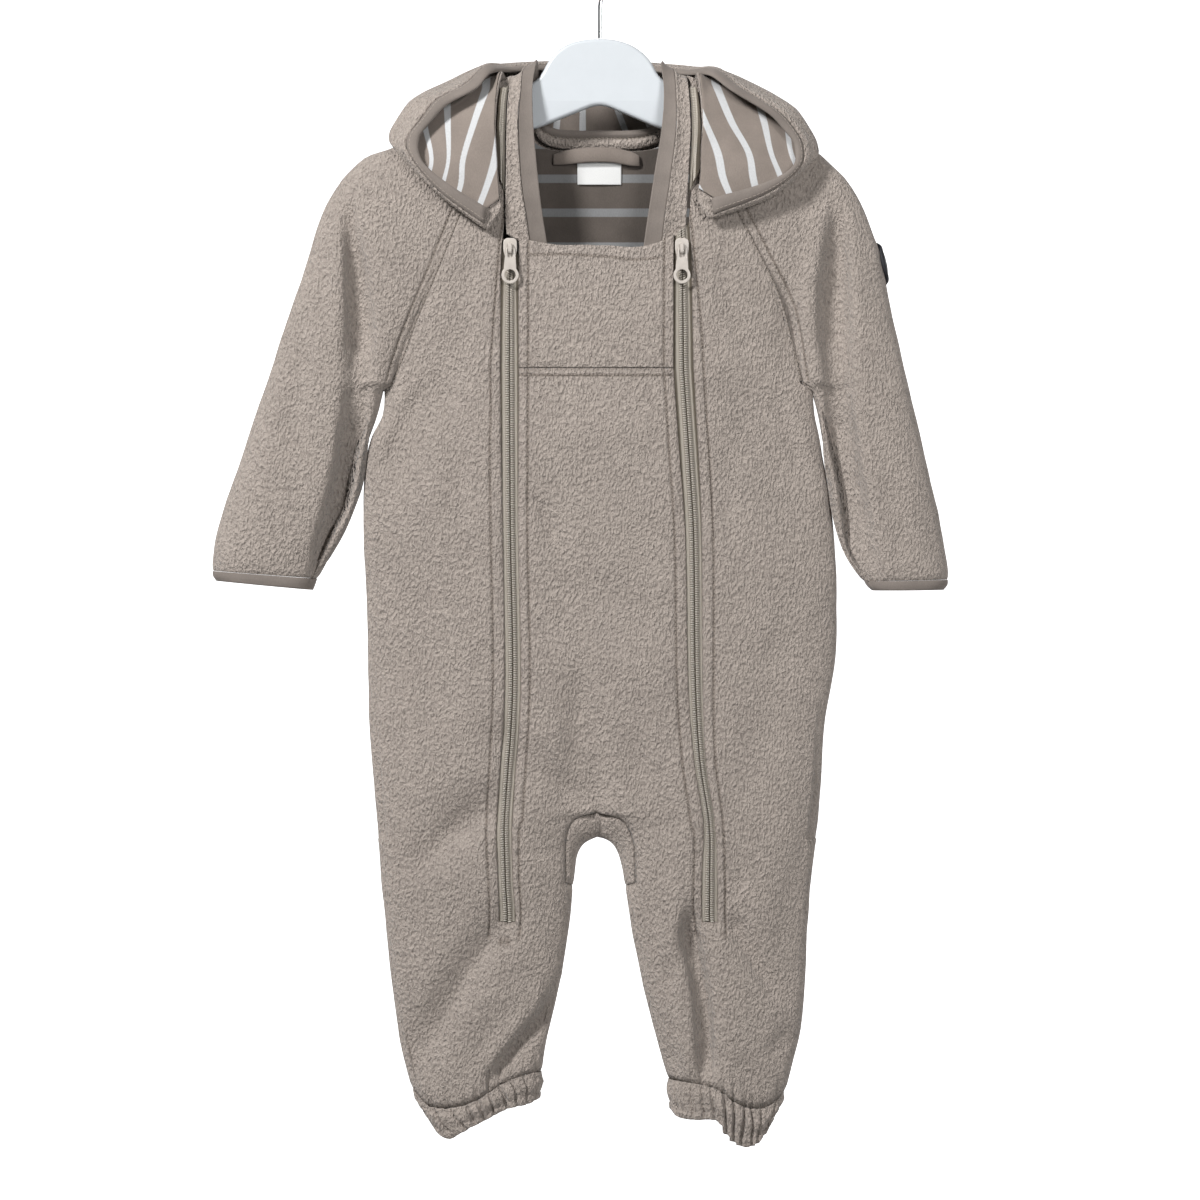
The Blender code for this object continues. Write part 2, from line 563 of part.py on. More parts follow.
# ---------------------------------------------------------------- walls and solids
def inset_points(points, normals, faces, inset):
    """Points of a panel with its edges drawn in along the cloth."""
    edges = {}
    for face in faces:
        for a, b in zip(face, face[1:] + face[:1]):
            edges[(a, b)] = face
    border = [(a, b) for a, b in edges if (b, a) not in edges]
    inward = {}
    for a, b in border:
        face = edges[(a, b)]
        centre = sum((points[k] for k in face), Vector()) / len(face)
        along_edge = (points[b] - points[a]).normalized()
        for k in (a, b):
            into = along_edge.cross(normals[k]).normalized()
            if into.dot(centre - points[a]) < 0:
                into = -into
            inward.setdefault(k, []).append(into)
    moved = {k: points[k] for face in faces for k in face}
    for k, directions in inward.items():
        total = sum(directions, Vector())
        if len(directions) == 2:
            total = total / max(0.35, 1 + directions[0].dot(directions[1]))
        moved[k] = points[k] + total * inset
    return moved, border


def split_face(points, face):
    """Two triangles over the shorter diagonal, so that walls laid on each other stay parallel."""
    a, b, c, d = face
    if (points[a] - points[c]).length < (points[b] - points[d]).length:
        return (a, b, c), (a, c, d)
    return (a, b, d), (b, c, d)


def wall(name, points, normals, faces, thickness, lift=0.0, inset=SEAM_GAP / 2):
    """A closed wall whose outer side lies on the faces, moved out by lift."""
    moved, border = inset_points(points, normals, faces, inset)
    order = sorted(moved)
    place = {k: i for i, k in enumerate(order)}
    count = len(order)
    outer = [moved[k] + normals[k] * lift for k in order]
    inner = [moved[k] + normals[k] * (lift - thickness) for k in order]
    halves = [half for face in faces for half in split_face(points, face)]
    solid = [tuple(place[k] for k in half) for half in halves]
    solid += [tuple(place[k] + count for k in reversed(half)) for half in halves]
    solid += [(place[b], place[a], place[a] + count, place[b] + count) for a, b in border]
    return make_object(name, outer + inner, solid)


def make_object(name, points, faces):
    mesh = bpy.data.meshes.new(name)
    mesh.from_pydata([p * MM for p in points], [], faces)
    mesh.validate()
    mesh.update()
    obj = bpy.data.objects.new(name, mesh)
    bpy.context.scene.collection.objects.link(obj)
    return obj


def grid_faces(rows, columns, closed=False):
    """Faces of a grid of points stored row by row."""
    faces = []
    for r in range(rows - 1):
        for c in range(columns if closed else columns - 1):
            d = (c + 1) % columns
            faces.append((r * columns + c, (r + 1) * columns + c, (r + 1) * columns + d, r * columns + d))
    return faces


def grid_normals(points, faces):
    out = [Vector() for _ in points]
    for face in faces:
        a, b, c, d = (points[k] for k in face)
        n = (c - a).cross(d - b)
        for k in face:
            out[k] += n
    return [n.normalized() for n in out]


# ---------------------------------------------------------------- collar, hood and linings
# Collar stations: seam x, y, down; stitch line x, y, down; free edge x, y, down.
COLLAR_LEFT = [(0, -65, -16.2, 138, -48.5, -15.5, 147, -36, -14.5, 149),
               (1, -66, -18.5, 122, -51.5, -19, 125, -40, -18, 124),
               (2, -65.6, -19.5, 101, -55, -20, 101, -43, -19, 100),
               (3, -64.8, -16.5, 64, -57, -18, 62, -46.5, -16.5, 60),
               (4, -63.5, -11, 40, -55, -12, 37, -47, -11, 35),
               (5, -60.5, -2.5, 28, -53, -4, 23, -44.5, -4, 19),
               (6, -54, 8, 34, -49, 7, 24, -43, 6, 18),
               (7, -41, 14.5, 70.5, -40.5, 13.5, 62.5, -40, 12, 57)]
COLLAR_BACK = (8, 0, 17.0, 75.5, 0, 16, 67.5, 0, 14.5, 62.5)
COLLAR_RIGHT = [(9, 41, 14.5, 70.5, 40.5, 13.5, 62.5, 40, 12, 57),
                (10, 54, 8, 34, 48.8, 7, 26, 43, 6, 19),
                (11, 59.5, -2.5, 28, 51.4, -3.4, 24, 42.5, -4, 20),
                (12, 62, -11, 42, 53, -12, 40, 44.5, -11, 38),
                (13, 62.8, -16.5, 68, 53, -18, 65, 43, -16.5, 63),
                (14, 61.5, -19.5, 96, 49, -20, 99, 37.5, -19, 98),
                (15, 60.5, -18.5, 118, 45, -19, 126, 33, -18, 127),
                (16, 59.5, -16.2, 136, 43, -15.5, 145, 30, -14.5, 148)]
# Hood stations, each point as x, y, down: neck; near side, bottom and far side of the bag; outermost
# line; fleece edge; face edge.
HOOD_LEFT = [(0, -69, -22.5, 121, -71, -22.8, 125, -73.2, -23, 128.7, -75.3, -23.5, 132, -77.5, -24, 135.5,
              -80.5, -29, 132, -79, -30, 120.5),
             (1, -70.5, -22.5, 100, -81, -23, 104, -92, -23, 107.5, -102, -22.5, 110, -111, -22.5, 111,
              -112, -29, 109, -106, -30, 103.5),
             (2, -71.5, -21.5, 81, -90, -22, 83, -108, -21, 85, -126, -18, 84.5, -141, -17, 81,
              -131, -28, 86, -123.5, -29.5, 88),
             (3, -72, -20.5, 63, -93, -15, 58, -113, -9, 55, -131, -5, 60, -147, -9, 67,
              -134, -25, 71, -125, -26, 70),
             (3.5, -71.5, -18.5, 54, -91, -9, 46, -110, 0, 48, -127, 1, 52, -140, -6, 54,
              -124, -22, 57, -116, -24, 58.5),
             (4, -70.5, -15, 43, -90, 0, 37, -107, 8, 50, -123, 10, 50, -131, -3, 43,
              -115, -21, 45, -106, -24, 48),
             (5, -67, -6, 26, -80, 13, 36, -93, 26, 92, -107, 37, 66, -106, 12, 28,
              -94, -14, 32, -86, -22, 35.5),
             (5.5, -65, 6.5, 27, -76, 19, 55, -86, 30, 130, -95, 43, 80, -87, 24, 19,
              -80, -2, 18, -76.5, -15, 24.5),
             (6, -61, 12, 37, -69, 20, 82, -78, 33, 165, -81, 44, 92, -65, 33, 14,
              -63, 22, 16, -61.5, 14, 20),
             (7, -38, 20, 71, -39.5, 23, 137, -42, 36, 222, -42, 51, 130, -34, 42, 12,
              -33, 31.5, 13, -32.5, 28.5, 17)]
HOOD_BACK = (8, 0, 20.8, 75, 0, 23, 148, 0, 37, 238, 0, 53, 140, 0, 45, 12, 0, 34.5, 12.5, 0, 31.5, 16.5)
HOOD_RIGHT = [(9, 38, 20, 71, 39.5, 23, 137, 42, 36, 222, 42, 51, 130, 34, 42, 13,
               33, 31.5, 14, 32.5, 28.5, 18),
              (10, 61, 12, 37, 69, 20, 82, 78, 33, 165, 81, 44, 92, 65, 33, 16,
               63, 22, 18, 61.5, 14, 22),
              (10.5, 65, 7.5, 28, 76, 19, 56, 86, 30, 130, 95, 43, 80, 87, 24, 21,
               81, -2, 19.5, 77, -15, 26),
              (11, 66.5, -6, 26.5, 80, 13, 36, 93, 26, 92, 108, 37, 66, 107, 12, 30,
               97, -15, 34, 91, -23, 37),
              (12, 69, -15, 43, 90, 0, 36, 107, 9, 50, 125, 12, 53, 135, -3, 48,
               124, -21, 52, 117, -24, 54),
              (12.5, 70, -18.5, 54, 91, -9, 46, 110, 0, 48, 130, 2, 57, 145, -6, 61,
               134, -22, 63, 127, -24, 64.5),
              (13, 70.5, -20.5, 63, 93, -15, 58, 113, -9, 57, 133, -6, 64, 151.5, -9, 74,
               141, -24, 75.5, 135, -25, 76),
              (14, 70, -21.5, 81, 90, -22, 84, 108, -21, 88, 130, -18, 89.5, 148, -17, 87,
               138.5, -28, 93, 133, -29.5, 93),
              (15, 69.5, -22.5, 98, 82, -23, 103, 95, -23, 108, 107, -22.5, 112, 118, -22.5, 113,
               116.5, -29, 110.5, 111, -30, 104.5),
              (16, 67, -22.5, 114, 69, -22.8, 117.5, 71, -23, 121, 73, -23.5, 124.5, 75, -24, 128,
               78.5, -29, 125.5, 77.5, -30, 114)]
HOOD_FACES = (2, 2, 1, 2, 2)   # from the neck to near side, bottom, far side and outermost line
HOOD_PROFILE = sum(HOOD_FACES)
BAG_BOTTOM = 4.5          # half width of the bottom of the bag
RIM_CURL = 2              # faces from there to the fleece edge
BINDING_FACES = 1
COLLAR_FACES = 2
HOOD_ZIP = {"left": (1.5, 4.4), "right": (11.6, 14.7)}   # collar stations where it shows
HOOD_ZIP_ROWS = 7
HOOD_SECTIONS = 30
RIM_ROLL = 3.5            # how far the fold of the rim reaches out
HOOD_LINING_INSET = 2.0
HOOD_LINING_GAP = 0.9     # air between the hood's fleece and its lining
# The lining where it shows: first and last station, first and last column of each part.
HOOD_LININGS = {"hood_lining_left": [(0.5, 2.2, 0, 8), (2.1, 3.3, 0, 7), (3.1, 4.4, 0, 2)],
                "hood_lining_right": [(13.8, 15.5, 0, 8), (12.7, 13.9, 0, 7), (11.6, 12.9, 0, 2)],
                "hood_lining_back": [(6.3, 9.7, 7, 9)]}


def collar_grid(fine=1):
    """Grid from the seam over the stitch line to the free edge of the collar."""
    table = COLLAR_LEFT + [COLLAR_BACK] + COLLAR_RIGHT
    points = []
    for station in refined([k / 2 for k in range(33)], fine):
        row = smooth_row(table, station)
        seam, stitch, edge = (world(*row[k:k + 3]) for k in (0, 3, 6))
        half = COLLAR_FACES * fine
        points += [seam.lerp(stitch, k / half) for k in range(half)]
        points += [stitch.lerp(edge, k / half) for k in range(half + 1)]
    return points, 2 * COLLAR_FACES * fine + 1


def bezier(a, b, c, d, t):
    s = 1 - t
    return a * s**3 + b * (3 * s * s * t) + c * (3 * s * t * t) + d * t**3


def hood_section(station, fine=1):
    """Points of one section of the hood: round the bag, over the rim and across the binding."""
    row = smooth_row(HOOD_LEFT + [HOOD_BACK] + HOOD_RIGHT, station)
    marks = [Vector((row[k], row[k + 1], -HANGER_DROP - row[k + 2])) for k in range(0, 21, 3)]
    neck, near, bottom, far, rim, edge, face = marks
    across = (far - near).normalized() * min(BAG_BOTTOM, 0.2 * (far - near).length)
    bag = [neck, near, bottom - across, bottom + across, far, rim]
    points = []
    for k, faces in enumerate(HOOD_FACES):
        low, high = (sum((a - b).length for a, b in zip(bag[:n], bag[1:n + 1])) for n in (k, k + 1))
        whole = sum((a - b).length for a, b in zip(bag, bag[1:]))
        for step in range(faces * fine + (k == len(HOOD_FACES) - 1)):
            share = mix(low, high, step / (faces * fine)) / whole
            points.append(Vector(along([tuple(m) for m in bag], share)))
    rim = points[-1]
    reach = min(RIM_ROLL, (rim - edge).length * 0.45)
    roll = rim + (rim - points[-2]).normalized() * reach
    landing = edge + (edge - face).normalized() * reach
    curl = RIM_CURL * fine
    points += [bezier(rim, roll, landing, edge, k / curl) for k in range(1, curl + 1)]
    strip = BINDING_FACES * fine
    points += [edge.lerp(face, k / strip) for k in range(1, strip + 1)]
    return points


def build_collar():
    points, columns = collar_grid()
    faces = grid_faces(len(points) // columns, columns)
    normals = grid_normals(points, faces)
    cloth = [face for face in faces if max(k % columns for k in face) <= COLLAR_FACES]
    binding = [face for face in faces if min(k % columns for k in face) >= COLLAR_FACES]
    wall("collar", points, normals, cloth, FLEECE, lift=FLEECE / 2)
    wall("collar_binding", points, normals, binding, BINDING, lift=BINDING / 2)


def build_hood():
    sections = [hood_section(s) for s in [k * 16 / HOOD_SECTIONS for k in range(HOOD_SECTIONS + 1)]]
    points = [p for section in sections for p in section]
    columns = len(sections[0])
    faces = [tuple(reversed(face)) for face in grid_faces(len(sections), columns)]
    normals = grid_normals(points, faces)
    bound = HOOD_PROFILE + RIM_CURL
    shell = [face for face in faces if max(k % columns for k in face) <= bound]
    binding = [face for face in faces if min(k % columns for k in face) >= bound]
    wall("hood", points, normals, shell, FLEECE)
    wall("hood_binding", points, normals, binding, FLEECE)
    for name, spans in HOOD_LININGS.items():
        lining = []
        for face in faces:
            low, high = min(k % columns for k in face), max(k % columns for k in face)
            first = min(face) // columns * 16 / HOOD_SECTIONS
            last = max(face) // columns * 16 / HOOD_SECTIONS
            if any(a <= first and last <= b and c <= low and high <= d for a, b, c, d in spans):
                lining.append(face)
        wall(name, points, normals, lining, JERSEY, lift=-FLEECE - HOOD_LINING_GAP, inset=HOOD_LINING_INSET)


def build_hood_zip(side):
    """Tape of the zip that joins the hood to the collar, where it shows beside the neck."""
    collar = COLLAR_LEFT + [COLLAR_BACK] + COLLAR_RIGHT
    hood = HOOD_LEFT + [HOOD_BACK] + HOOD_RIGHT
    points = []
    low, high = HOOD_ZIP[side]
    for k in range(HOOD_ZIP_ROWS + 1):
        station = mix(low, high, k / HOOD_ZIP_ROWS)
        near, far = world(*smooth_row(collar, station)[:3]), world(*smooth_row(hood, station)[:3])
        inset = (far - near).normalized()
        points += [near + inset * 2.0, far - inset * 0.5]
    faces = grid_faces(HOOD_ZIP_ROWS + 1, 2)
    wall("hood_zip_" + side, points, grid_normals(points, faces), faces, TAPE, lift=TAPE / 2)


# ---------------------------------------------------------------- panels of the garment
THICKNESS = {"front": FLEECE, "front_yoke": FLEECE, "back": FLEECE, "gusset": FLEECE,
             "sleeve_left": FLEECE, "sleeve_right": FLEECE,
             "sleeve_binding_left": BINDING, "sleeve_binding_right": BINDING}


def build_panels(surface):
    normals = surface.normals()
    for name, thickness in THICKNESS.items():
        faces = [q for q, label in zip(surface.quads, surface.labels) if label == name]
        wall(name, surface.points, normals, faces, thickness)
    return normals


def cuff_points(surface, ring, right, waves, fine=2, rows=3):
    """Rings of the gathered leg end, from the leg's last ring to the hem."""
    outer_down, outer_x, inner_down, inner_x = HEM_RIGHT if right else HEM_LEFT
    table = CUFF_RIGHT if right else CUFF_LEFT
    top = []
    for a, b in zip(ring, ring[1:] + ring[:1]):
        top += [surface.points[a].lerp(surface.points[b], k / fine) for k in range(fine)]
    last_row = smooth_row(LEG_RIGHT if right else LEG_LEFT, LEG_ROWS)
    first_outer, first_inner = last_row[1], last_row[5]
    lengths = [0.0]
    for a, b in zip(top, top[1:]):
        lengths.append(lengths[-1] + (b - a).length)
    total = lengths[-1] + (top[0] - top[-1]).length
    points = []
    for row in range(rows + 1):
        t = row / rows
        for point, length in zip(top, lengths):
            share = (point.x - first_outer) / (first_inner - first_outer)
            x = mix(outer_x, inner_x, share)
            share = min(max(share, 0.0), 1.0)
            down = mix(outer_down, inner_down, share) + smooth_row(table, share)[1]
            hem = Vector((x, point.y * 0.88, -HANGER_DROP - down))
            place = point.lerp(hem, t)
            swell = math.sin(math.pi * min(1.0, t * 1.3)) if t < 0.77 else 0.6
            wave = waves * math.sin(2 * math.pi * CUFF_WAVES * length / total) * min(1.0, 3 * t)
            outward = Vector((point.x - (first_outer + first_inner) / 2, point.y * 2.2, 0)).normalized()
            points.append(place + outward * (wave + 1.2 * swell * min(1.0, 3 * t)))
    return points, len(top)


def build_leg_cuffs(surface, ends):
    for name in ("left", "right"):
        points, columns = cuff_points(surface, ends["leg_" + name], name == "right", CUFF_WAVE_DEPTH)
        faces = grid_faces(len(points) // columns, columns, closed=True)
        wall("leg_cuff_" + name, points, grid_normals(points, faces), faces, FLEECE, inset=0.6)


# ---------------------------------------------------------------- zips
TAPE = 0.9                # thickness of the zip tape
CHAIN_HEIGHT = 1.5        # of the closed teeth above the tape
TAPE_DEPTH = 1.7          # outer face of the tape below the fleece
ZIP_TOP_DOWN = 150.0      # the chain starts under the slider
ZIP_SECTION = [(0.025, 0.0), (0.29, 0.0), (0.33, 1.0), (0.67, 1.0), (0.71, 0.0), (0.975, 0.0)]


def zip_frames(surface, normals, pairs):
    """Left edge, right edge and outward direction down a slit."""
    frames = []
    for a, b in pairs:
        frames.append((surface.points[a], surface.points[b], (normals[a] + normals[b]).normalized()))
    return frames


def build_zip(name, frames):
    frames = [f for f in frames if -HANGER_DROP - f[0].z > ZIP_TOP_DOWN - 8]
    frames[-1] = tuple(mix(f, g, 0.04) for f, g in zip(frames[-1], frames[-2]))
    points = []
    for left, right, out in frames:
        for share, rise in ZIP_SECTION:
            points.append(left.lerp(right, share) + out * (rise * CHAIN_HEIGHT - TAPE_DEPTH))
    columns = len(ZIP_SECTION)
    top = len(points)
    for left, right, out in frames:
        for share, _ in ZIP_SECTION:
            points.append(left.lerp(right, share) - out * (TAPE_DEPTH + TAPE))
    faces = grid_faces(len(frames), columns)
    back = [tuple(k + top for k in reversed(face)) for face in faces]
    border = []
    edges = {(a, b) for face in faces for a, b in zip(face, face[1:] + face[:1])}
    for a, b in edges:
        if (b, a) not in edges:
            border.append((b, a, a + top, b + top))
    return make_object(name, points, faces + back + border)


# ---------------------------------------------------------------- small sewn pieces
LOOP = [(-33, 83.5, 8), (-24, 82, 10.5), (-8, 80.5, 11), (8, 80.5, 11), (22, 83, 10.5),
        (28, 84.5, 8)]                              # x, down and width of the hanging loop
LOOP_GAP = 0.8
LOOP_BOW = 2.2                                      # it stands off the lining in the middle
LABEL = (-16, 15, 82, 101)                          # left, right, top and bottom of the neck label
LABEL_THICKNESS = 0.6
LINING_TOP = 84.0                                   # the whole lining is there from here down
LINING_DEPTH = 205.0                                # down to where the neck lining is sewn
LINING_ROOM = 8.0                                  # it stops where the shoulders get flatter
BADGE_WAY = 0.697                                   # share of the way from neck to armpit row
BADGE_BEHIND = 9.5                                  # from the ridge to its centre, round the sleeve
BADGE_RADIUS = 16.0
RIDGE_LENGTH = 283.7
BADGE_THICKNESS = 1.8
BADGE_GAP = 1.8                                     # it is stiffer than the cloth under it


def build_back_lining(surface, normals):
    faces = []
    for quad, label in zip(surface.quads, surface.labels):
        corners = [surface.points[k] for k in quad]
        inside = all(c.y > LINING_ROOM and -HANGER_DROP - c.z < LINING_DEPTH for c in corners)
        if label == "back" and inside:
            faces.append(quad)
    return wall("back_lining", surface.points, normals, faces, JERSEY, lift=-FLEECE - LAY_GAP, inset=1.0)


def build_loop(lining):
    """Band over the neck label by which the garment is hung up."""
    tree = tree_of(lining)
    points = []
    for k in range(9):
        x, down, width = along(LOOP, k / 8)
        bow = LOOP_BOW * math.sin(math.pi * k / 8)
        for share in (-0.5, 0, 0.5):
            place = laid_on(tree, x, down + width * share)
            points.append(place - Vector((0, LOOP_GAP + JERSEY + bow, 0)))
    faces = [tuple(reversed(f)) for f in grid_faces(9, 3)]
    wall("hanger_loop", points, grid_normals(points, faces), faces, JERSEY)


def laid_on(tree, x, down):
    """Point straight behind a place in the front view, on the lining or level with its top."""
    hit = tree.ray_cast(world(x, -5, max(down, LINING_TOP)), Vector((0, 1, 0)))[0]
    return Vector((x, hit.y, -HANGER_DROP - down))


def build_label(lining):
    """Blank label that hangs on the lining below the loop."""
    left, right, top, bottom = LABEL
    tree = tree_of(lining)
    points = []
    for row in range(4):
        for column in range(5):
            place = laid_on(tree, mix(left, right, column / 4), mix(top, bottom, row / 3))
            points.append(place - Vector((0, LAY_GAP + LABEL_THICKNESS, 0)))
    faces = grid_faces(4, 5)
    wall("neck_label", points, [Vector((0, -1, 0))] * len(points), faces, LABEL_THICKNESS)


def tree_of(obj):
    mesh = bmesh.new()
    mesh.from_mesh(obj.data)
    bmesh.ops.scale(mesh, vec=Vector((1, 1, 1)) / MM, verts=mesh.verts[:])
    tree = BVHTree.FromBMesh(mesh)
    mesh.free()
    return tree


def round_sleeve(tree, along_ridge, around):
    """Place and normal on the sleeve: mm along its ridge, and mm round from it to the back."""
    t = BADGE_WAY + along_ridge / RIDGE_LENGTH
    last = world(*upper_sleeve(True, SLEEVE_COLUMNS, t, around > 0))
    left = abs(around)
    for k in range(1, 10 * SLEEVE_COLUMNS):
        point = world(*upper_sleeve(True, SLEEVE_COLUMNS - k / 10, t, around > 0))
        step = (point - last).length
        if step >= left:
            last = last.lerp(point, left / step)
            break
        left -= step
        last = point
    return tree.find_nearest(last)[:2]


def build_badge(sleeve):
    """Plain round badge on the outside of the sleeve, laid on the cloth."""
    tree = tree_of(sleeve)
    rings, sectors = 4, 24
    tops, points = [], []
    for ring in range(rings + 1):
        for k in range(sectors if ring else 1):
            angle = 2 * math.pi * k / sectors
            radius = BADGE_RADIUS * ring / rings
            hit, normal = round_sleeve(tree, radius * math.cos(angle),
                                       BADGE_BEHIND + radius * math.sin(angle))
            tops.append(hit + normal * (BADGE_GAP + BADGE_THICKNESS))
            points.append(hit + normal * BADGE_GAP)
    lower = len(points)
    points = tops + points
    faces = []
    for k in range(sectors):
        n = (k + 1) % sectors
        faces.append((0, 1 + k, 1 + n))
        for ring in range(rings - 1):
            a, b = 1 + ring * sectors, 1 + (ring + 1) * sectors
            faces.append((a + k, b + k, b + n, a + n))
        rim = 1 + (rings - 1) * sectors
        faces.append((rim + n, rim + k, rim + k + lower, rim + n + lower))
    faces += [tuple(i + lower for i in reversed(f)) for f in faces if max(f) < lower]
    return turned_out(make_object("sleeve_badge", points, faces))


def turned_out(obj):
    """Faces pointing out of a closed mesh."""
    mesh = bmesh.new()
    mesh.from_mesh(obj.data)
    bmesh.ops.recalc_face_normals(mesh, faces=mesh.faces[:])
    mesh.to_mesh(obj.data)
    mesh.free()
    return obj


# ---------------------------------------------------------------- sliders and pull tabs
SLIDER_DOWN = {"left": 148.5, "right": 148.5}
SLIDER_LENGTH = 15.0
SLIDER_WIDTH = 9.6
SLIDER_PLATE = 2.0
BAIL_WIDTH = 2.4
BAIL_REACH = 3.6          # from the pull's axis to the outside of the bail's posts
BAIL_POST = 1.2
AXIS_HEIGHT = 1.2         # of the pull's axis over the slider's plate
BAIL_TOP = 1.1
PULL_THICKNESS = 1.2
PULL_BAR = 1.2
FORK_LENGTH = 6.2
FORK_GAP = 1.7            # half width of the fork's opening
PULL_HALF = (3.3, 4.2, 4.3)   # half widths at the axis, under the fork and above the ring
PULL_NECK = 12.0
RING_DOWN = 18.5
RING_RADIUS = 6.0
RING_HOLE = 3.9


def slider_frame(frames, down):
    """Middle, down direction and outward direction of the chain at a height."""
    k = min(range(len(frames) - 1), key=lambda i: abs(-HANGER_DROP - frames[i][0].z - down))
    middle = (frames[k][0] + frames[k][1]) / 2
    other = (frames[k + 1][0] + frames[k + 1][1]) / 2
    run = (other - middle)
    run = Vector((0, run.y, run.z)).normalized()
    middle = middle + run * ((-HANGER_DROP - down - middle.z) / run.z)
    out = run.cross(Vector((1, 0, 0)))
    if out.y > 0:
        out = -out
    return middle + out * (CHAIN_HEIGHT - TAPE_DEPTH + LAY_GAP), run, out


def prism(name, outline, origin, axes, thickness):
    """Solid with an outline in the plane of the first two axes, centred along the third."""
    first, second, third = axes
    count = len(outline)
    points = []
    for side in (-0.5, 0.5):
        points += [origin + first * a + second * b + third * (side * thickness) for a, b in outline]
    faces = [tuple(range(count)), tuple(reversed(range(count, 2 * count)))]
    faces += [(k, (k + 1) % count, (k + 1) % count + count, k + count) for k in range(count)]
    return turned_out(make_object(name, points, faces))


def cut(obj, cutters):
    """Take the cutters' shapes out of a solid."""
    for cutter in cutters:
        modifier = obj.modifiers.new("cut", "BOOLEAN")
        modifier.operation = "DIFFERENCE"
        modifier.object = cutter
    settle(obj)
    for cutter in cutters:
        bpy.data.objects.remove(cutter)


def settle(obj):
    """Apply an object's modifiers to its mesh."""
    bpy.context.view_layer.update()
    mesh = bpy.data.meshes.new_from_object(obj.evaluated_get(bpy.context.evaluated_depsgraph_get()))
    obj.modifiers.clear()
    obj.data = mesh


def circle(radius, count, centre=(0.0, 0.0), start=0.0, end=2 * math.pi, closed=True):
    steps = count if closed else count - 1
    return [(centre[0] + radius * math.cos(mix(start, end, k / steps)),
             centre[1] + radius * math.sin(mix(start, end, k / steps))) for k in range(count)]


def build_slider(side, frames):
    """Slider with its bail, and the pull tab that hangs in the bail."""
    base, run, out = slider_frame(frames, SLIDER_DOWN[side])
    across = Vector((1, 0, 0))
    half, wide = SLIDER_LENGTH / 2, SLIDER_WIDTH / 2
    shield = [(-wide, -half * 0.75), (-wide * 0.55, -half), (wide * 0.55, -half), (wide, -half * 0.75),
              (wide, half * 0.2), (wide * 0.6, half), (-wide * 0.6, half), (-wide, half * 0.2)]
    centre = base + out * (SLIDER_PLATE / 2)
    plate = prism("slider_" + side, shield, centre, (across, run, out), SLIDER_PLATE)
    top = SLIDER_PLATE + AXIS_HEIGHT * 2
    arch = [(-BAIL_REACH, SLIDER_PLATE / 2), (-BAIL_REACH, top), (-BAIL_REACH + 1.2, top + BAIL_TOP),
            (BAIL_REACH - 1.2, top + BAIL_TOP), (BAIL_REACH, top), (BAIL_REACH, SLIDER_PLATE / 2)]
    inner = [(BAIL_REACH - BAIL_POST, SLIDER_PLATE / 2), (BAIL_REACH - BAIL_POST, top),
             (-BAIL_REACH + BAIL_POST, top), (-BAIL_REACH + BAIL_POST, SLIDER_PLATE / 2)]
    bail = prism("bail", arch + inner, base, (run, out, across), BAIL_WIDTH)
    joined = plate.modifiers.new("join", "BOOLEAN")
    joined.operation = "UNION"
    joined.object = bail
    settle(plate)
    bpy.data.objects.remove(bail)
    axis = base + out * (SLIDER_PLATE + AXIS_HEIGHT)
    return axis


def build_pull(side, axis):
    """Pull tab hanging straight down from its axis, with a fork over the bail and a ring."""
    down, across, out = Vector((0, 0, -1)), Vector((1, 0, 0)), Vector((0, -1, 0))
    top, under, above = PULL_HALF
    start = math.asin(above / RING_RADIUS)
    ring = circle(RING_RADIUS, 15, (RING_DOWN, 0), math.pi - start, -(math.pi - start), closed=False)
    outline = [(-PULL_BAR / 2, -top), (-PULL_BAR / 2, top), (FORK_LENGTH, under), (PULL_NECK, above)]
    outline += ring + [(PULL_NECK, -above), (FORK_LENGTH, -under)]
    pull = prism("pull_" + side, outline, Vector(), (down, across, out), PULL_THICKNESS)
    window = [(PULL_BAR / 2, -FORK_GAP), (PULL_BAR / 2, FORK_GAP), (FORK_LENGTH, FORK_GAP),
              (FORK_LENGTH, -FORK_GAP)]
    hole = circle(RING_HOLE, 14, (RING_DOWN, 0))
    cut(pull, [prism("window", window, Vector(), (down, across, out), 4),
               prism("hole", hole, Vector(), (down, across, out), 4)])
    pull.location = axis * MM
    return pull


# ---------------------------------------------------------------- hanger and hook
HANGER_THICKNESS = 9.0
HANGER_BEVEL = 2.8
ARM_BELOW_RIDGE = 9.0     # top of the arms under the outside of the shoulders
ARM_HEIGHT = 16.0
HANGER_NECK = [(-42, 27), (-36.5, 16.5), (-30.8, 9), (-22, 3.4), (-11, 0.7), (0, 0), (11, 0.8), (22, 4.2),
               (31.5, 11), (36.5, 17.5), (41.3, 27)]
ARM_ENDS = 143.0
HOOK_WIRE = 3.8
HOOK_INSIDE = 17.5        # radius of the crook's inside
HOOK_TURN = (-55, 205)    # degrees from +X over the top
HOOK_SHANK = [(0, 0, -HANGER_DROP + 0.3), (0, 0, -60), (0, 0, -52), (1.1, 0, -45), (5.2, 0, -38.8)]


def arm_line(ridge, sign):
    """Top of a hanger arm, under the shoulder's ridge, from the neck outwards."""
    by_x = sorted((sign * x, down) for x, down in ridge)
    line = [(50, 32.5), (62, 37.5)]
    line += [(x, smooth_row(by_x, x)[0] + ARM_BELOW_RIDGE) for x in (76, 92, 108, 124, 136)]
    return [(sign * x, down) for x, down in line]


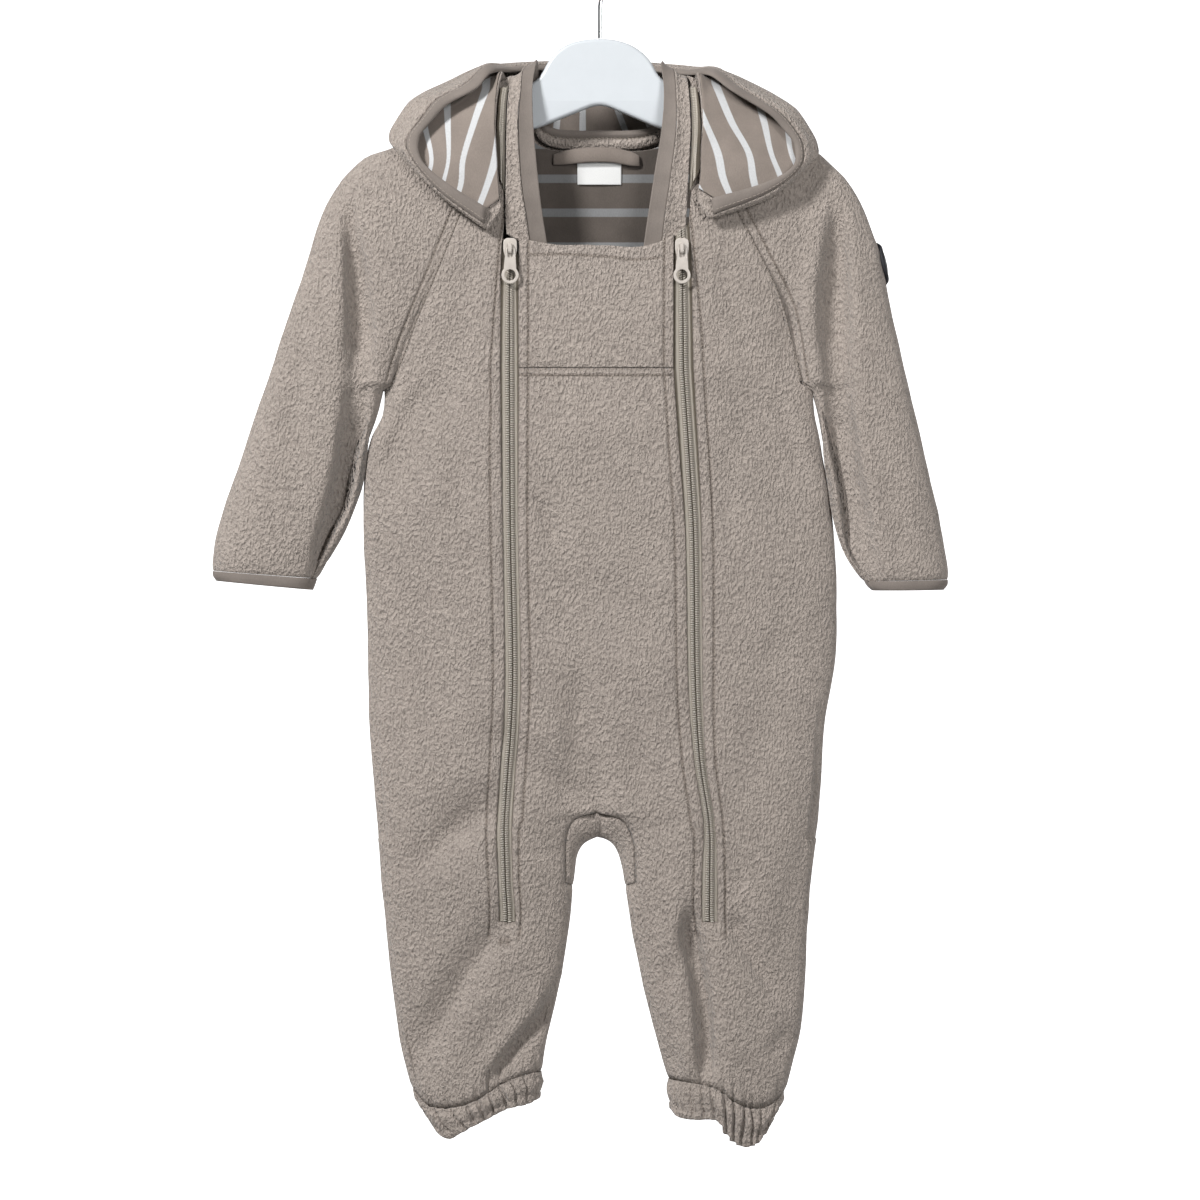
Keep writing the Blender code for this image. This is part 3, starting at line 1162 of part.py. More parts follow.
def build_hanger():
    left, right = arm_line(RIDGE_LEFT, -1), arm_line(RIDGE_RIGHT, 1)
    outline = list(HANGER_NECK) + right
    tip = right[-1][1]
    outline += [(ARM_ENDS, tip + 6.5), (ARM_ENDS - 1, tip + 15), (ARM_ENDS - 8, tip + 18)]
    outline += [(x, down + ARM_HEIGHT + 1.5) for x, down in reversed(right[2:-1])]
    outline += [(58, 66), (42, 63), (0, 45), (-46, 63.5), (-60, 66)]
    outline += [(x, down + ARM_HEIGHT + 1.5) for x, down in left[2:-1]]
    tip = left[-1][1]
    outline += [(-ARM_ENDS + 8, tip + 18), (-ARM_ENDS + 1, tip + 15), (-ARM_ENDS, tip + 6.5)]
    outline += list(reversed(left))
    flat = [(x, -HANGER_DROP - down) for x, down in outline]
    hanger = prism("hanger", flat, Vector(), (Vector((1, 0, 0)), Vector((0, 0, 1)), Vector((0, 1, 0))),
                   HANGER_THICKNESS)
    bevel = hanger.modifiers.new("edges", "BEVEL")
    bevel.width = HANGER_BEVEL * MM
    bevel.segments = 2
    bevel.limit_method = "ANGLE"
    bevel.angle_limit = math.radians(50)


def build_hook():
    """Wire hook; its inside top is the origin."""
    radius = HOOK_INSIDE + HOOK_WIRE / 2
    line = list(HOOK_SHANK)
    start, end = (math.radians(a) for a in HOOK_TURN)
    line += [(x, 0, z - HOOK_INSIDE) for x, z in circle(radius, 20, (0, 0), start, end, closed=False)]
    curve = bpy.data.curves.new("hook", "CURVE")
    curve.dimensions = "3D"
    curve.bevel_depth = HOOK_WIRE / 2 * MM
    curve.bevel_resolution = 3
    curve.use_fill_caps = True
    spline = curve.splines.new("POLY")
    spline.points.add(len(line) - 1)
    for point, place in zip(spline.points, line):
        point.co = (*(Vector(place) * MM), 1)
    obj = bpy.data.objects.new("hook", curve)
    bpy.context.scene.collection.objects.link(obj)


# ---------------------------------------------------------------- materials and scene
COLOURS = {"fleece": ((0.42, 0.36, 0.29), 0.95, 0.0), "lining": ((0.33, 0.28, 0.22), 0.9, 0.0),
           "binding": ((0.40, 0.34, 0.27), 0.85, 0.0), "zip": ((0.40, 0.36, 0.28), 0.7, 0.0),
           "slider": ((0.45, 0.41, 0.33), 0.5, 0.0), "label": ((0.85, 0.85, 0.83), 0.8, 0.0),
           "badge": ((0.02, 0.02, 0.03), 0.8, 0.0), "plastic": ((0.8, 0.8, 0.8), 0.35, 0.0),
           "metal": ((0.7, 0.7, 0.7), 0.2, 1.0)}
FINISH = {"hood_lining_left": "lining", "hood_lining_right": "lining",
          "hood_lining_back": "lining", "back_lining": "lining", "collar_binding": "binding",
          "hood_binding": "binding", "sleeve_binding": "binding", "zip": "zip", "slider": "slider",
          "pull": "slider", "neck_label": "label", "sleeve_badge": "badge", "hanger_loop": "fleece",
          "hanger": "plastic", "hook": "metal"}


def finish_for(name):
    for start in sorted(FINISH, key=len, reverse=True):
        if name.startswith(start):
            return FINISH[start]
    return "fleece"


def assign_materials():
    for obj in bpy.data.objects:
        colour, roughness, metallic = COLOURS[finish_for(obj.name)]
        material = bpy.data.materials.new(obj.name + "_finish")
        material.use_nodes = True
        shader = material.node_tree.nodes["Principled BSDF"]
        shader.inputs["Base Color"].default_value = (*colour, 1)
        shader.inputs["Roughness"].default_value = roughness
        shader.inputs["Metallic"].default_value = metallic
        obj.data.materials.append(material)
        if obj.type == "MESH":
            obj.data.shade_smooth()
            obj.data.set_sharp_from_angle(angle=math.radians(45))


def main():
    for obj in list(bpy.data.objects):
        bpy.data.objects.remove(obj)
    surface, ends, zips = garment()
    normals = build_panels(surface)
    build_leg_cuffs(surface, ends)
    build_collar()
    build_hood()
    build_hood_zip("left")
    build_hood_zip("right")
    lining = build_back_lining(surface, normals)
    build_loop(lining)
    build_label(lining)
    build_badge(bpy.data.objects["sleeve_right"])
    for side in ("left", "right"):
        frames = zip_frames(surface, normals, zips[side])
        build_zip("zip_" + side, frames)
        axis = build_slider(side, frames)
        build_pull(side, axis)
    build_hanger()
    build_hook()
    assign_materials()


main()
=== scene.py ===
"""A baby's fleece overall on a child's hanger, dressed for its picture.

The tables and the surface are those of the part. Each piece is cut from a finer copy of the surface,
pressed in along its seams, and given cloth, thread and metal. Tables hold millimetres.
"""
import heapq
import math

import bmesh
import bpy
import numpy as np
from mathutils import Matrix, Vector, noise
from mathutils.bvhtree import BVHTree
from mathutils.kdtree import KDTree

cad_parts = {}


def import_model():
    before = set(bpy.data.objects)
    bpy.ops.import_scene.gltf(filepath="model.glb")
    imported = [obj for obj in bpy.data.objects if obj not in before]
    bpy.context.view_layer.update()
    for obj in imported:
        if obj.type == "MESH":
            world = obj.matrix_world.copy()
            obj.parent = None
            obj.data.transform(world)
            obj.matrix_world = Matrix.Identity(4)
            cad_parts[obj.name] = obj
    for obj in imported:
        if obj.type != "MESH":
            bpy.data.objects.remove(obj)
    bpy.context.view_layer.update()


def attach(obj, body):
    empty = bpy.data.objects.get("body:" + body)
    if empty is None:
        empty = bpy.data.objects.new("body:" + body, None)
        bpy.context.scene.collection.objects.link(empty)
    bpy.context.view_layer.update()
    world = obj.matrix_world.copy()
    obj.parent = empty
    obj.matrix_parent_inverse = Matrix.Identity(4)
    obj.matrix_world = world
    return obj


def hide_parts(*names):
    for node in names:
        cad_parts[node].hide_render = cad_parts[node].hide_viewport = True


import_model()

MM = 0.001
FINE = 6
# Columns and rows of the finer surface, added beside seams, zips and rows of stitches.
EXTRA_COLUMNS = [0.03, 0.06, 0.1, 0.2, 3.5, 3.56, 3.6, 3.63, 3.66, 3.7, 3.76, 3.85, 3.93, 4.2, 4.8, 5.03, 5.08,
                 5.15, 5.24, 5.30, 5.34, 5.37, 5.40, 5.44, 5.5, 10.5, 10.56, 10.60, 10.63, 10.66, 10.7, 10.76,
                 10.85, 10.92, 10.97, 11.2, 11.8, 12.07, 12.15, 12.24, 12.30, 12.34, 12.37, 12.40, 12.44, 12.5,
                 15.8, 15.9, 15.94, 15.97]
EXTRA_SLEEVE = [0.04, 0.1, 0.15, 0.2, 0.25, 0.3, 0.34, 0.38, 0.42, 0.46, 0.5, 0.56, 0.62]
EXTRA_UPPER = [0.006, 0.014, 0.024, 0.036, 0.05, 0.065, 0.08, 0.095, 0.11, 0.125, 0.14, 0.97, 0.99]
EXTRA_BODY = [244.2, 244.9, 245.5, 246.1, 246.8]
EXTRA_SLEEVE_ROWS = [5.95, 5.98, 6.03, 6.1]
EXTRA_LEG = [4.96, 5.04, 5.98, 6.03]
TRACKS = (0, 3.63, 5.37, 10.63, 12.37, 16)      # columns of the raglan seams and of the zips' stitches
HANGER_DROP = 75.0        # top of the hanger below the rod
FLEECE = 2.0              # thickness of the fleece
JERSEY = 1.2              # thickness of the striped lining
BINDING = 1.6             # thickness of the smooth bindings
SEAM_GAP = 0.3            # air between two pieces at a seam
LAY_GAP = 0.35            # air between a piece and what it lies on
ROUNDNESS = 2.3           # power of the flattened oval sections
SIDE_INSET = 7.6          # side columns inside the outline of the body and legs

# ---------------------------------------------------------------- front view of the garment
# Paths (x, down) from the neck to the armpit row.
RIDGE_LEFT = [(-61.6, 24.5), (-103, 50), (-144, 75.5), (-162.4, 82), (-173, 90.3), (-181, 98.7),
              (-191, 115.5), (-198, 132.3), (-205, 154.7), (-214, 182.7), (-223.3, 210.7), (-233, 241)]
RIDGE_RIGHT = [(61.6, 24.5), (103, 49), (144, 73.5), (155, 81.5), (164, 90.3), (172, 98.7),
               (182.7, 115.5), (189.7, 132.3), (197.5, 154.7), (202.5, 182.7), (208.6, 210.7), (215.4, 241)]
RAGLAN_LEFT = [(-66.5, 46), (-97.3, 120.4), (-114.8, 163.8), (-130.2, 200.9), (-144.9, 241)]
RAGLAN_RIGHT = [(65.5, 46), (95.2, 118.3), (109.2, 145.6), (128.8, 186.9), (141.4, 241)]
ZIP_TOPS = {"left_outer": [(-66.5, 127), (-68.6, 156), (-69.3, 231)],
            "left_inner": [(-56.5, 141), (-56.7, 156), (-56.7, 231)],
            "right_inner": [(51.4, 138), (51.2, 156), (51.1, 231)],
            "right_outer": [(62.0, 127), (63.5, 156), (65.1, 231)]}
CENTRE_TOP = [(-2, 146), (-2.5, 231)]
# Top edge of the front tongue: column, down added to the straight line between its corners.
TONGUE_EDGE = [(5, 0), (6.5, 2), (8, 0), (9.5, 5), (10.4, 4), (11, 0)]
# Slit edges of the zips: down, x of the four edges from left to right.
ZIPS = [(231, -69.3, -56.7, 51.1, 65.1), (292, -68.5, -56.9, 55.5, 68.6), (346, -67.5, -57.1, 59.5, 70.7),
        (453, -66.2, -55.3, 61.6, 71.4), (506, -68.9, -58.3, 65.8, 73.5), (549, -72.1, -61.2, 72.1, 79.8),
        (590, -70.7, -60.8, 70.9, 81.7), (617, -70.2, -59.2, 70.7, 81.9), (673, -76, -66, 76, 86),
        (745, -80, -72, 80, 89)]
# Body sections: down, left, right, depth of front and back.
BODY = [(231, -152.5, 149, 20.5, 18), (262, -152.3, 150, 20.5, 18), (280, -160.5, 154, 21, 18),
        (300, -165, 158, 21, 18.5), (322, -166, 162, 21, 19), (350, -166, 165, 21, 19),
        (393, -163.8, 166.6, 21, 19), (435, -163.1, 165, 21, 19), (477, -162.4, 158.2, 21, 19),
        (519, -158.9, 155.4, 20.5, 19), (542, -157.2, 153.3, 20, 19), (594, -153, 148, 20, 18.5),
        (640, -148, 145, 19, 18)]
# Leg sections: row, outer down and x, inner seam down and x, inner outline down and x.
LEG_LEFT = [(0, 559, -156.2, 541.8, -2.5, 558.5, -2.0), (1, 566, -155.5, 545, -15.5, 560.5, -7),
            (2, 574, -154.8, 551.5, -21, 564, -12), (3, 583, -154, 561, -23.2, 570.5, -15.7),
            (4, 592, -153.2, 572, -23.2, 579, -17.2), (5, 603, -152, 590, -23.4, 592, -18.6),
            (6, 617, -150.5, 617, -26.5, 617, -20.5), (7, 645, -147.7, 645, -30.8, 645, -24.5),
            (8, 673, -144.9, 673, -36.5, 673, -30.1), (9, 701, -140.7, 699, -43, 699, -36.4),
            (10, 735, -131.6, 722.5, -46.5, 722.4, -40.6)]
LEG_RIGHT = [(0, 559, 152.2, 541.8, -2.5, 558.5, -2.0), (1, 566, 151.3, 545, 11.5, 560.5, 4),
             (2, 574, 150.2, 551, 18.5, 564, 9), (3, 583, 149, 560.5, 22.2, 570.5, 12.8),
             (4, 592, 148, 572, 23.8, 579, 15.2), (5, 603, 147.2, 590, 24.2, 592, 17.4),
             (6, 617, 146.3, 617, 27, 617, 21), (7, 645, 144.9, 645, 32.3, 645, 25.9),
             (8, 673, 142.8, 673, 38.6, 673, 32.2), (9, 701, 139.3, 700, 45.6, 700, 39.2),
             (10, 737, 129.5, 728, 53, 727.5, 47.2)]
LEG_DEPTH = [(540, 20, 18.5), (617, 19, 18), (700, 17, 16.5), (760, 15, 15)]
# Gathered leg ends: fraction from outer to inner edge, sag of the top line, sag of the hem.
CUFF_LEFT = [(0, 0, 0), (0.12, 10.5, 14.4), (0.22, 14, 18.6), (0.38, 14.6, 13.3), (0.51, 12, 9.6),
             (0.63, 7, 5.8), (0.75, 2.5, 3.3), (0.89, 0.5, 2.6), (1, 0, 0)]
CUFF_RIGHT = [(0, 0, 0), (0.16, 10, 19), (0.28, 12, 24), (0.37, 11, 22.5), (0.46, 8, 17), (0.53, 4, 9),
              (0.6, 1.5, 5.8), (0.75, 0, 6.4), (0.93, 0, 5), (1, 0, 0)]
HEM_LEFT = (752.5, -121.5, 741, -42.5)      # outer down and x, inner down and x
HEM_RIGHT = (751, 123.5, 748.5, 49.5)
# Sleeve sections: row, outer x and down, inner x and down, depth of front and back.
SLEEVE_LEFT = [(0, -233, 241, -150.4, 243, 17, 16), (1, -241, 263, -155.4, 262, 17, 16),
               (2, -249, 287, -163.2, 284, 17.5, 16), (3, -257.5, 312, -166.9, 306, 17.5, 16),
               (4, -265, 335, -173.0, 330, 17, 15.5), (5, -270, 354, -184, 351.5, 16.5, 15),
               (6, -271.6, 372.4, -197.5, 378, 15.5, 14.5), (7, -269, 379.6, -200.5, 386, 15, 14)]
SLEEVE_RIGHT = [(0, 215.4, 241, 146.8, 243, 17, 16), (1, 221, 265, 153.0, 264, 17, 16),
                (2, 227, 290, 157.6, 290, 17.5, 16), (3, 232.5, 314, 162.2, 314, 17.5, 16),
                (4, 237.5, 337, 165.6, 338, 17, 15.5), (5, 241.5, 358, 170.6, 360, 16.5, 15),
                (6, 244, 378.5, 184.5, 380, 15, 14), (7, 241, 386, 190.5, 386.5, 14.5, 13.5)]
RIDGE, LEG, CUFF = (RIDGE_LEFT, RIDGE_RIGHT), (LEG_LEFT, LEG_RIGHT), (CUFF_LEFT, CUFF_RIGHT)
HEM, SLEEVE = (HEM_LEFT, HEM_RIGHT), (SLEEVE_LEFT, SLEEVE_RIGHT)
CUFF_ROW = 6              # the binding starts at this sleeve row
# The deep hollow down the front of each sleeve: down, x of its middle, half width, depth.
SLEEVE_HOLLOW = {
    False: [(112, -174.5, 3.5, 0), (126, -174, 4, 1.6), (156, -171, 6, 4.6), (190, -167.5, 8, 6.6),
            (214, -167, 8.5, 6.0), (234, -168, 8.0, 3.6), (256, -170, 8, 3.6), (276, -172, 8.5, 6.0),
            (306, -175, 9.0, 6.4), (340, -185.5, 7.5, 4.5), (370, -194, 6, 2.0), (384, -197, 5, 0.5)],
    True: [(108, 165, 4, 0), (124, 165, 5, 2.2), (141, 164.7, 7, 4.5), (173, 163, 9, 6.8),
           (205, 162, 9.5, 6.6), (230, 164, 8.5, 3.8), (256, 166, 8.5, 3.8), (276, 167.5, 9.5, 6.2),
           (306, 170, 10.5, 6.6), (338, 175, 11.5, 5.2), (370, 185.6, 8.5, 2.2), (384, 190, 6, 0.5)]}
# Depth of the shoulders as one section with the sleeves: down, front, back.
SHOULDER_DEPTH = [(20, 6, 6), (35, 9.5, 9.5), (60, 14, 13.5), (90, 18, 16), (130, 20, 17.5),
                  (190, 20.5, 18), (245, 20.5, 18)]
BACK_NECK_CENTRE = 77.0   # down of the back neck at the centre
BACK_NECK_SIDE = 36.0
BACK_NECK_HALF = 63.0
# Folds: side, x and down of both ends, half width, depth (in is positive).
FOLDS = [("front", -70, 492, -22, 532, 13, 5.0), ("front", -41, 330, -28, 356, 9, 2.5),
         ("front", -15, 455, -14, 520, 11, 2.2), ("front", -78, 536, -120, 572, 14, 4.0),
         ("front", -72, 623, -124, 706, 13, 4.5), ("front", -40, 682, -70, 724, 10, 3.5),
         ("front", 63, 618, 72, 716, 9, 5.0), ("front", 94, 622, 122, 662, 11, 3.0),
         ("front", 25, 500, 48, 545, 11, 3.0), ("front", -112, 250, -138, 300, 14, 2.5),
         ("front", 100, 255, 132, 330, 15, 2.5), ("front", -20, 380, 30, 400, 16, 1.6),
         ("back", -60, 470, -10, 530, 14, 4.5), ("back", 20, 480, 60, 540, 14, 4.0),
         ("back", -115, 560, -60, 640, 14, 4.0), ("back", 110, 570, 70, 650, 14, 4.0),
         ("back", -120, 250, -80, 330, 16, 3.0), ("back", 125, 260, 80, 330, 16, 3.0),
         ("back", -25, 330, 30, 360, 16, 2.0)]
# Rows of the surface; the columns between two seams are evenly spaced.
UPPER_ROWS = 9
BODY_ROWS = [241, 260, 282, 308, 336, 366, 396, 426, 456, 484, 510, 534, 559]
LEG_ROWS = 10
SLEEVE_ROWS = 7
SLEEVE_COLUMNS = 5        # between a raglan seam and the ridge
SIDE_COLUMNS = 4          # round a side, an underarm or an inner leg
FRONT_STATIONS = (0, 4, 5, 8, 11, 12, 16)
GUSSET_ROWS = 5
LEG_OVERLAP = 9.0         # the legs' ovals meet this far beyond the centre
CROTCH_RISE = 17.2        # the crotch seam lies higher than the sides of its row
ZIP_END_ROW = 6


# ---------------------------------------------------------------- small mathematics
def smooth_row(rows, key):
    """The other columns of a table at a key, on a smooth curve through its rows."""
    if key <= rows[0][0]:
        return rows[0][1:]
    if key >= rows[-1][0]:
        return rows[-1][1:]
    i = max(k for k in range(len(rows) - 1) if rows[k][0] <= key)
    span = rows[i + 1][0] - rows[i][0]
    t = (key - rows[i][0]) / span
    before = rows[max(i - 1, 0)]
    after = rows[min(i + 2, len(rows) - 1)]
    values = []
    for c in range(1, len(rows[0])):
        a, b = rows[i][c], rows[i + 1][c]
        slope_a = (b - before[c]) / (rows[i + 1][0] - before[0]) * span
        slope_b = (after[c] - a) / (after[0] - rows[i][0]) * span
        values.append((2 * t**3 - 3 * t**2 + 1) * a + (t**3 - 2 * t**2 + t) * slope_a
                      + (3 * t**2 - 2 * t**3) * b + (t**3 - t**2) * slope_b)
    return tuple(values)


def along(path, t):
    """Point at a fraction of the length of a path."""
    keyed = [(0.0,) + tuple(path[0])]
    for a, b in zip(path, path[1:]):
        keyed.append((keyed[-1][0] + math.dist(a, b),) + tuple(b))
    return smooth_row(keyed, t * keyed[-1][0])


def mix(a, b, t):
    return a + (b - a) * t


def ease(low, high, value):
    t = min(max((value - low) / (high - low), 0.0), 1.0)
    return t * t * (3 - 2 * t)


def oval(share):
    """Depth of a flattened oval section, as a share, at a share of its half width."""
    return max(0.0, 1 - abs(share) ** ROUNDNESS) ** (1 / ROUNDNESS)


def turn_of(share):
    """Turning angle of a flattened oval at a share of its half width."""
    return math.acos(min(max(abs(share) ** (ROUNDNESS / 2), 0.0), 1.0))


def side_arc(share, step):
    """Shares of half width and depth at a step, -1 to 1, round the side from a column to its mirror."""
    angle = turn_of(share) * step
    return math.cos(angle) ** (2 / ROUNDNESS), math.copysign(abs(math.sin(angle)) ** (2 / ROUNDNESS), step)


def refined(values, fine):
    """A list with each interval divided."""
    out = []
    for a, b in zip(values, values[1:]):
        out += [mix(a, b, k / fine) for k in range(fine)]
    return out + [values[-1]]


def world(x, y, down):
    return Vector((x, y, -HANGER_DROP - down))


# ---------------------------------------------------------------- the garment's surface
def fold_depth(side, x, down):
    """How far the folds press the cloth in."""
    total = 0.0
    for row_side, x0, d0, x1, d1, width, depth in FOLDS:
        if row_side != side:
            continue
        length = math.hypot(x1 - x0, d1 - d0)
        t = ((x - x0) * (x1 - x0) + (down - d0) * (d1 - d0)) / length**2
        across = abs((x - x0) * (d1 - d0) - (down - d0) * (x1 - x0)) / length
        end = max(-t, t - 1, 0.0) * length
        total += depth * math.exp(-((across / width) ** 2) - (end / (1.3 * width)) ** 2)
    return total


def column_x(stations, column):
    """x at a column, evenly spaced between the seams."""
    for k in range(len(FRONT_STATIONS) - 1):
        low, high = FRONT_STATIONS[k], FRONT_STATIONS[k + 1]
        if column <= high:
            return mix(stations[k], stations[k + 1], (column - low) / (high - low))
    return stations[-1]


def shoulder_section(x, down, back):
    """Depth where body and sleeves are still one section."""
    left = ridge_x(RIDGE_LEFT, down)
    right = ridge_x(RIDGE_RIGHT, down)
    share = (2 * x - left - right) / (right - left)
    return smooth_row(SHOULDER_DEPTH, down)[back] * oval(min(abs(share), 1.0))


def ridge_x(ridge, down):
    """x of a shoulder ridge at a height."""
    return smooth_row([(d, x) for x, d in ridge], down)[0]


def body_depth(x, down, back):
    """Depth of the body, which turns into two legs near the crotch."""
    left, right, front_depth, back_depth = smooth_row(BODY, down)
    depth = (front_depth, back_depth)[back]
    whole = depth * oval((2 * x - left - right) / (right - left))
    to_legs = 0.85 * ease(430, 548, down)
    if to_legs == 0.0:
        return whole
    centre = LEG_LEFT[0][4]
    outer, inner = (left, centre + LEG_OVERLAP) if x < centre else (right, centre - LEG_OVERLAP)
    return mix(whole, depth * oval((2 * x - outer - inner) / (outer - inner)), to_legs)


def sleeve_share(column):
    """Share of the half width at a sleeve column: 0.9 at the raglan seam, -1 at the ridge."""
    start = turn_of(0.9)
    angle = mix(start, math.pi, column / SLEEVE_COLUMNS)
    return math.copysign(abs(math.cos(angle)) ** (2 / ROUNDNESS), math.cos(angle)), angle


def upper_front(column, t):
    stations = [along(RAGLAN_LEFT, t), along(ZIP_TOPS["left_outer"], t), along(ZIP_TOPS["left_inner"], t),
                along(CENTRE_TOP, t), along(ZIP_TOPS["right_inner"], t), along(ZIP_TOPS["right_outer"], t),
                along(RAGLAN_RIGHT, t)]
    x = column_x([s[0] for s in stations], column)
    down = column_x([s[1] for s in stations], column)
    if 5 < column < 11:
        down += smooth_row(TONGUE_EDGE, column)[0] * (1 - t) ** 2
    y = -mix(shoulder_section(x, down, 0), body_depth(x, max(down, 231), 0), ease(0.3, 1.0, t))
    return x, y + fold_depth("front", x, down), down


def upper_back(column, t):
    low = upper_front(column, 1.0)
    share = low[0] / abs(RAGLAN_LEFT[-1][0])
    top_x = share * BACK_NECK_HALF
    top_down = mix(BACK_NECK_CENTRE, BACK_NECK_SIDE, share**6)
    x = mix(top_x, low[0], t)
    down = mix(top_down, low[2], t)
    y = mix(shoulder_section(x, down, 1), body_depth(x, max(down, 231), 1), ease(0.3, 1.0, t))
    return x, y - fold_depth("back", x, down), down


def sleeve_hollow(right, x, down, depth):
    """How far the front of a sleeve lies back there, never more than it has room for."""
    middle, half, deep = smooth_row(SLEEVE_HOLLOW[right], down)
    return min(deep * math.exp(-(((x - middle) / (1.12 * half)) ** 4)), 0.48 * depth)


def upper_sleeve(right, column, t, back):
    share, angle = sleeve_share(column)
    across = (0.9 - share) / 1.9
    seam = (upper_back if back else upper_front)(16 if right else 0, t)
    ridge = along(RIDGE[right], t)
    x = mix(seam[0], ridge[0], across)
    down = mix(seam[2], ridge[1], across)
    own = smooth_row(SLEEVE_RIGHT, 0)[4 + back] * abs(math.sin(angle)) ** (2 / ROUNDNESS)
    joined = 0.0 if column == SLEEVE_COLUMNS else shoulder_section(x, down, back)
    alone = mix(ease(0.3, 1.0, t), ease(0.05, 0.6, t), column / SLEEVE_COLUMNS)
    depth = mix(joined, own, alone)
    if not back:
        depth -= sleeve_hollow(right, x, down, depth)
    return x, depth if back else -depth, down


def crotch_bend(across):
    """How far a row has bent up towards the crotch, from side to centre."""
    return ease(0.0, 1.0, across)


def body_point(column, row_down, back):
    """Point of a body row, which is level but for the yoke seam and the crotch."""
    middle = 1 - ease(0.55, 1.0, abs(column - 8) / 8)
    down = row_down - (0 if back else 10 * middle * ease(262, 241, row_down))
    down -= CROTCH_RISE * crotch_bend(1 - abs(column - 8) / 8) * ease(456, 559, row_down)
    left, right = smooth_row(BODY, down)[:2]
    edges = smooth_row(ZIPS, down)
    x = column_x([left + SIDE_INSET, edges[0], edges[1], LEG_LEFT[0][4], edges[2], edges[3],
                  right - SIDE_INSET], column)
    depth = body_depth(x, down, back)
    press = fold_depth("back" if back else "front", x, down)
    return x, (depth - press) if back else (press - depth), down


def body_side(right_side, step, down):
    left, right, front_depth, back_depth = smooth_row(BODY, down)
    half = (right - left) / 2
    width, depth = side_arc(1 - SIDE_INSET / half, step)
    x = (left + right) / 2 + (half if right_side else -half) * width
    return x, depth * (back_depth if step > 0 else front_depth), down


def leg_point(right, column, row, back):
    outer_down, outer_x, seam_down, seam_x, _, inner_x = smooth_row(LEG[right], row)
    sign = -1 if right else 1
    edges = smooth_row(ZIPS, mix(outer_down, seam_down, 0.5))
    if right:
        x = column_x([0, 0, 0, seam_x, edges[2], edges[3], outer_x - SIDE_INSET], column)
    else:
        x = column_x([outer_x + SIDE_INSET, edges[0], edges[1], seam_x, 0, 0, 0], column)
    across = (x - outer_x - sign * SIDE_INSET) / (seam_x - outer_x - sign * SIDE_INSET)
    bend = mix(crotch_bend(across), across, ease(3.0, 6.0, row))
    down = mix(outer_down, seam_down, bend) + leg_sag(right, x, row)
    share = (2 * x - outer_x - inner_x) / (inner_x - outer_x)
    depth = smooth_row(LEG_DEPTH, down)[back] * oval(share)
    if row < 5:
        depth = mix(body_depth(x, down, back), depth, ease(-2.0, 4.0, row))
    press = fold_depth("back" if back else "front", x, down)
    return x, (depth - press) if back else (press - depth), down


def leg_sag(right, x, row):
    """The leg end hangs lower in its outer half."""
    if row <= 7:
        return 0.0
    outer_x, inner_x = smooth_row(LEG[right], row)[1::4]
    share = min(max((x - outer_x) / (inner_x - outer_x), 0.0), 1.0)
    return smooth_row(CUFF[right], share)[0] * ease(7.0, 10.0, row)


def leg_side(right, step, row):
    """Outer side of a leg."""
    outer_down, outer_x, _, _, _, inner_x = smooth_row(LEG[right], row)
    half = abs(inner_x - outer_x) / 2
    width, depth = side_arc(1 - SIDE_INSET / half, step)
    x = (outer_x + inner_x) / 2 + (half if right else -half) * width
    front_depth, back_depth = smooth_row(LEG_DEPTH, outer_down)
    return x, depth * (back_depth if step > 0 else front_depth), outer_down + leg_sag(right, x, row)


def leg_inner(right, step, row):
    """Inner side of a leg; in the first row it is the crotch."""
    _, outer_x, seam_down, seam_x, inner_down, inner_x = smooth_row(LEG[right], row)
    share = abs(2 * seam_x - outer_x - inner_x) / abs(inner_x - outer_x)
    width, depth = side_arc(share, step)
    edge = side_arc(share, 1)
    back = 1 if step > 0 else 0
    seam = leg_point(right, 8, row, back) if row > 0 else body_point(8, BODY_ROWS[-1], back)
    inward = (width - edge[0]) / (1 - edge[0]) if edge[0] < 1 else 0.0
    x = mix(seam_x, inner_x, inward)
    y = abs(seam[1]) * depth / edge[1]
    down = mix(seam_down, inner_down, inward)
    if row < 0.01:
        bow = math.cos(math.pi / 2 * step)
        return mix(seam_x, inner_x, bow), abs(seam[1]) * math.sin(math.pi / 2 * step), \
            mix(seam_down, inner_down, bow)
    return x, y, down


def sleeve_point(right, column, row, back):
    outer_x, outer_down, inner_x, inner_down, *depths = smooth_row(SLEEVE[right], row)
    share, angle = sleeve_share(column)
    inward = (share + 1) / 2
    depth = depths[back] * abs(math.sin(angle)) ** (2 / ROUNDNESS)
    x, down = mix(outer_x, inner_x, inward), mix(outer_down, inner_down, inward)
    if not back:
        depth -= sleeve_hollow(right, x, down, depth)
    return x, depth if back else -depth, down


def sleeve_side(right, step, row):
    """Underarm side of a sleeve."""
    outer_x, outer_down, inner_x, inner_down, *depths = smooth_row(SLEEVE[right], row)
    width, depth = side_arc(0.9, step)
    inward = (width + 1) / 2
    y = depth * depths[1 if step > 0 else 0]
    return mix(outer_x, inner_x, inward), y, mix(outer_down, inner_down, inward)


def underarm(right, step):
    """Line shared by body and sleeve, from front to back under the arm."""
    front = upper_front(16 if right else 0, 1.0)
    back = upper_back(16 if right else 0, 1.0)
    bow = math.cos(math.pi / 2 * step)
    y = math.sin(math.pi / 2 * step) * abs(back[1] if step > 0 else front[1])
    return front[0] + (2.5 if right else -2.5) * bow, y, front[2] + 4.0 * bow


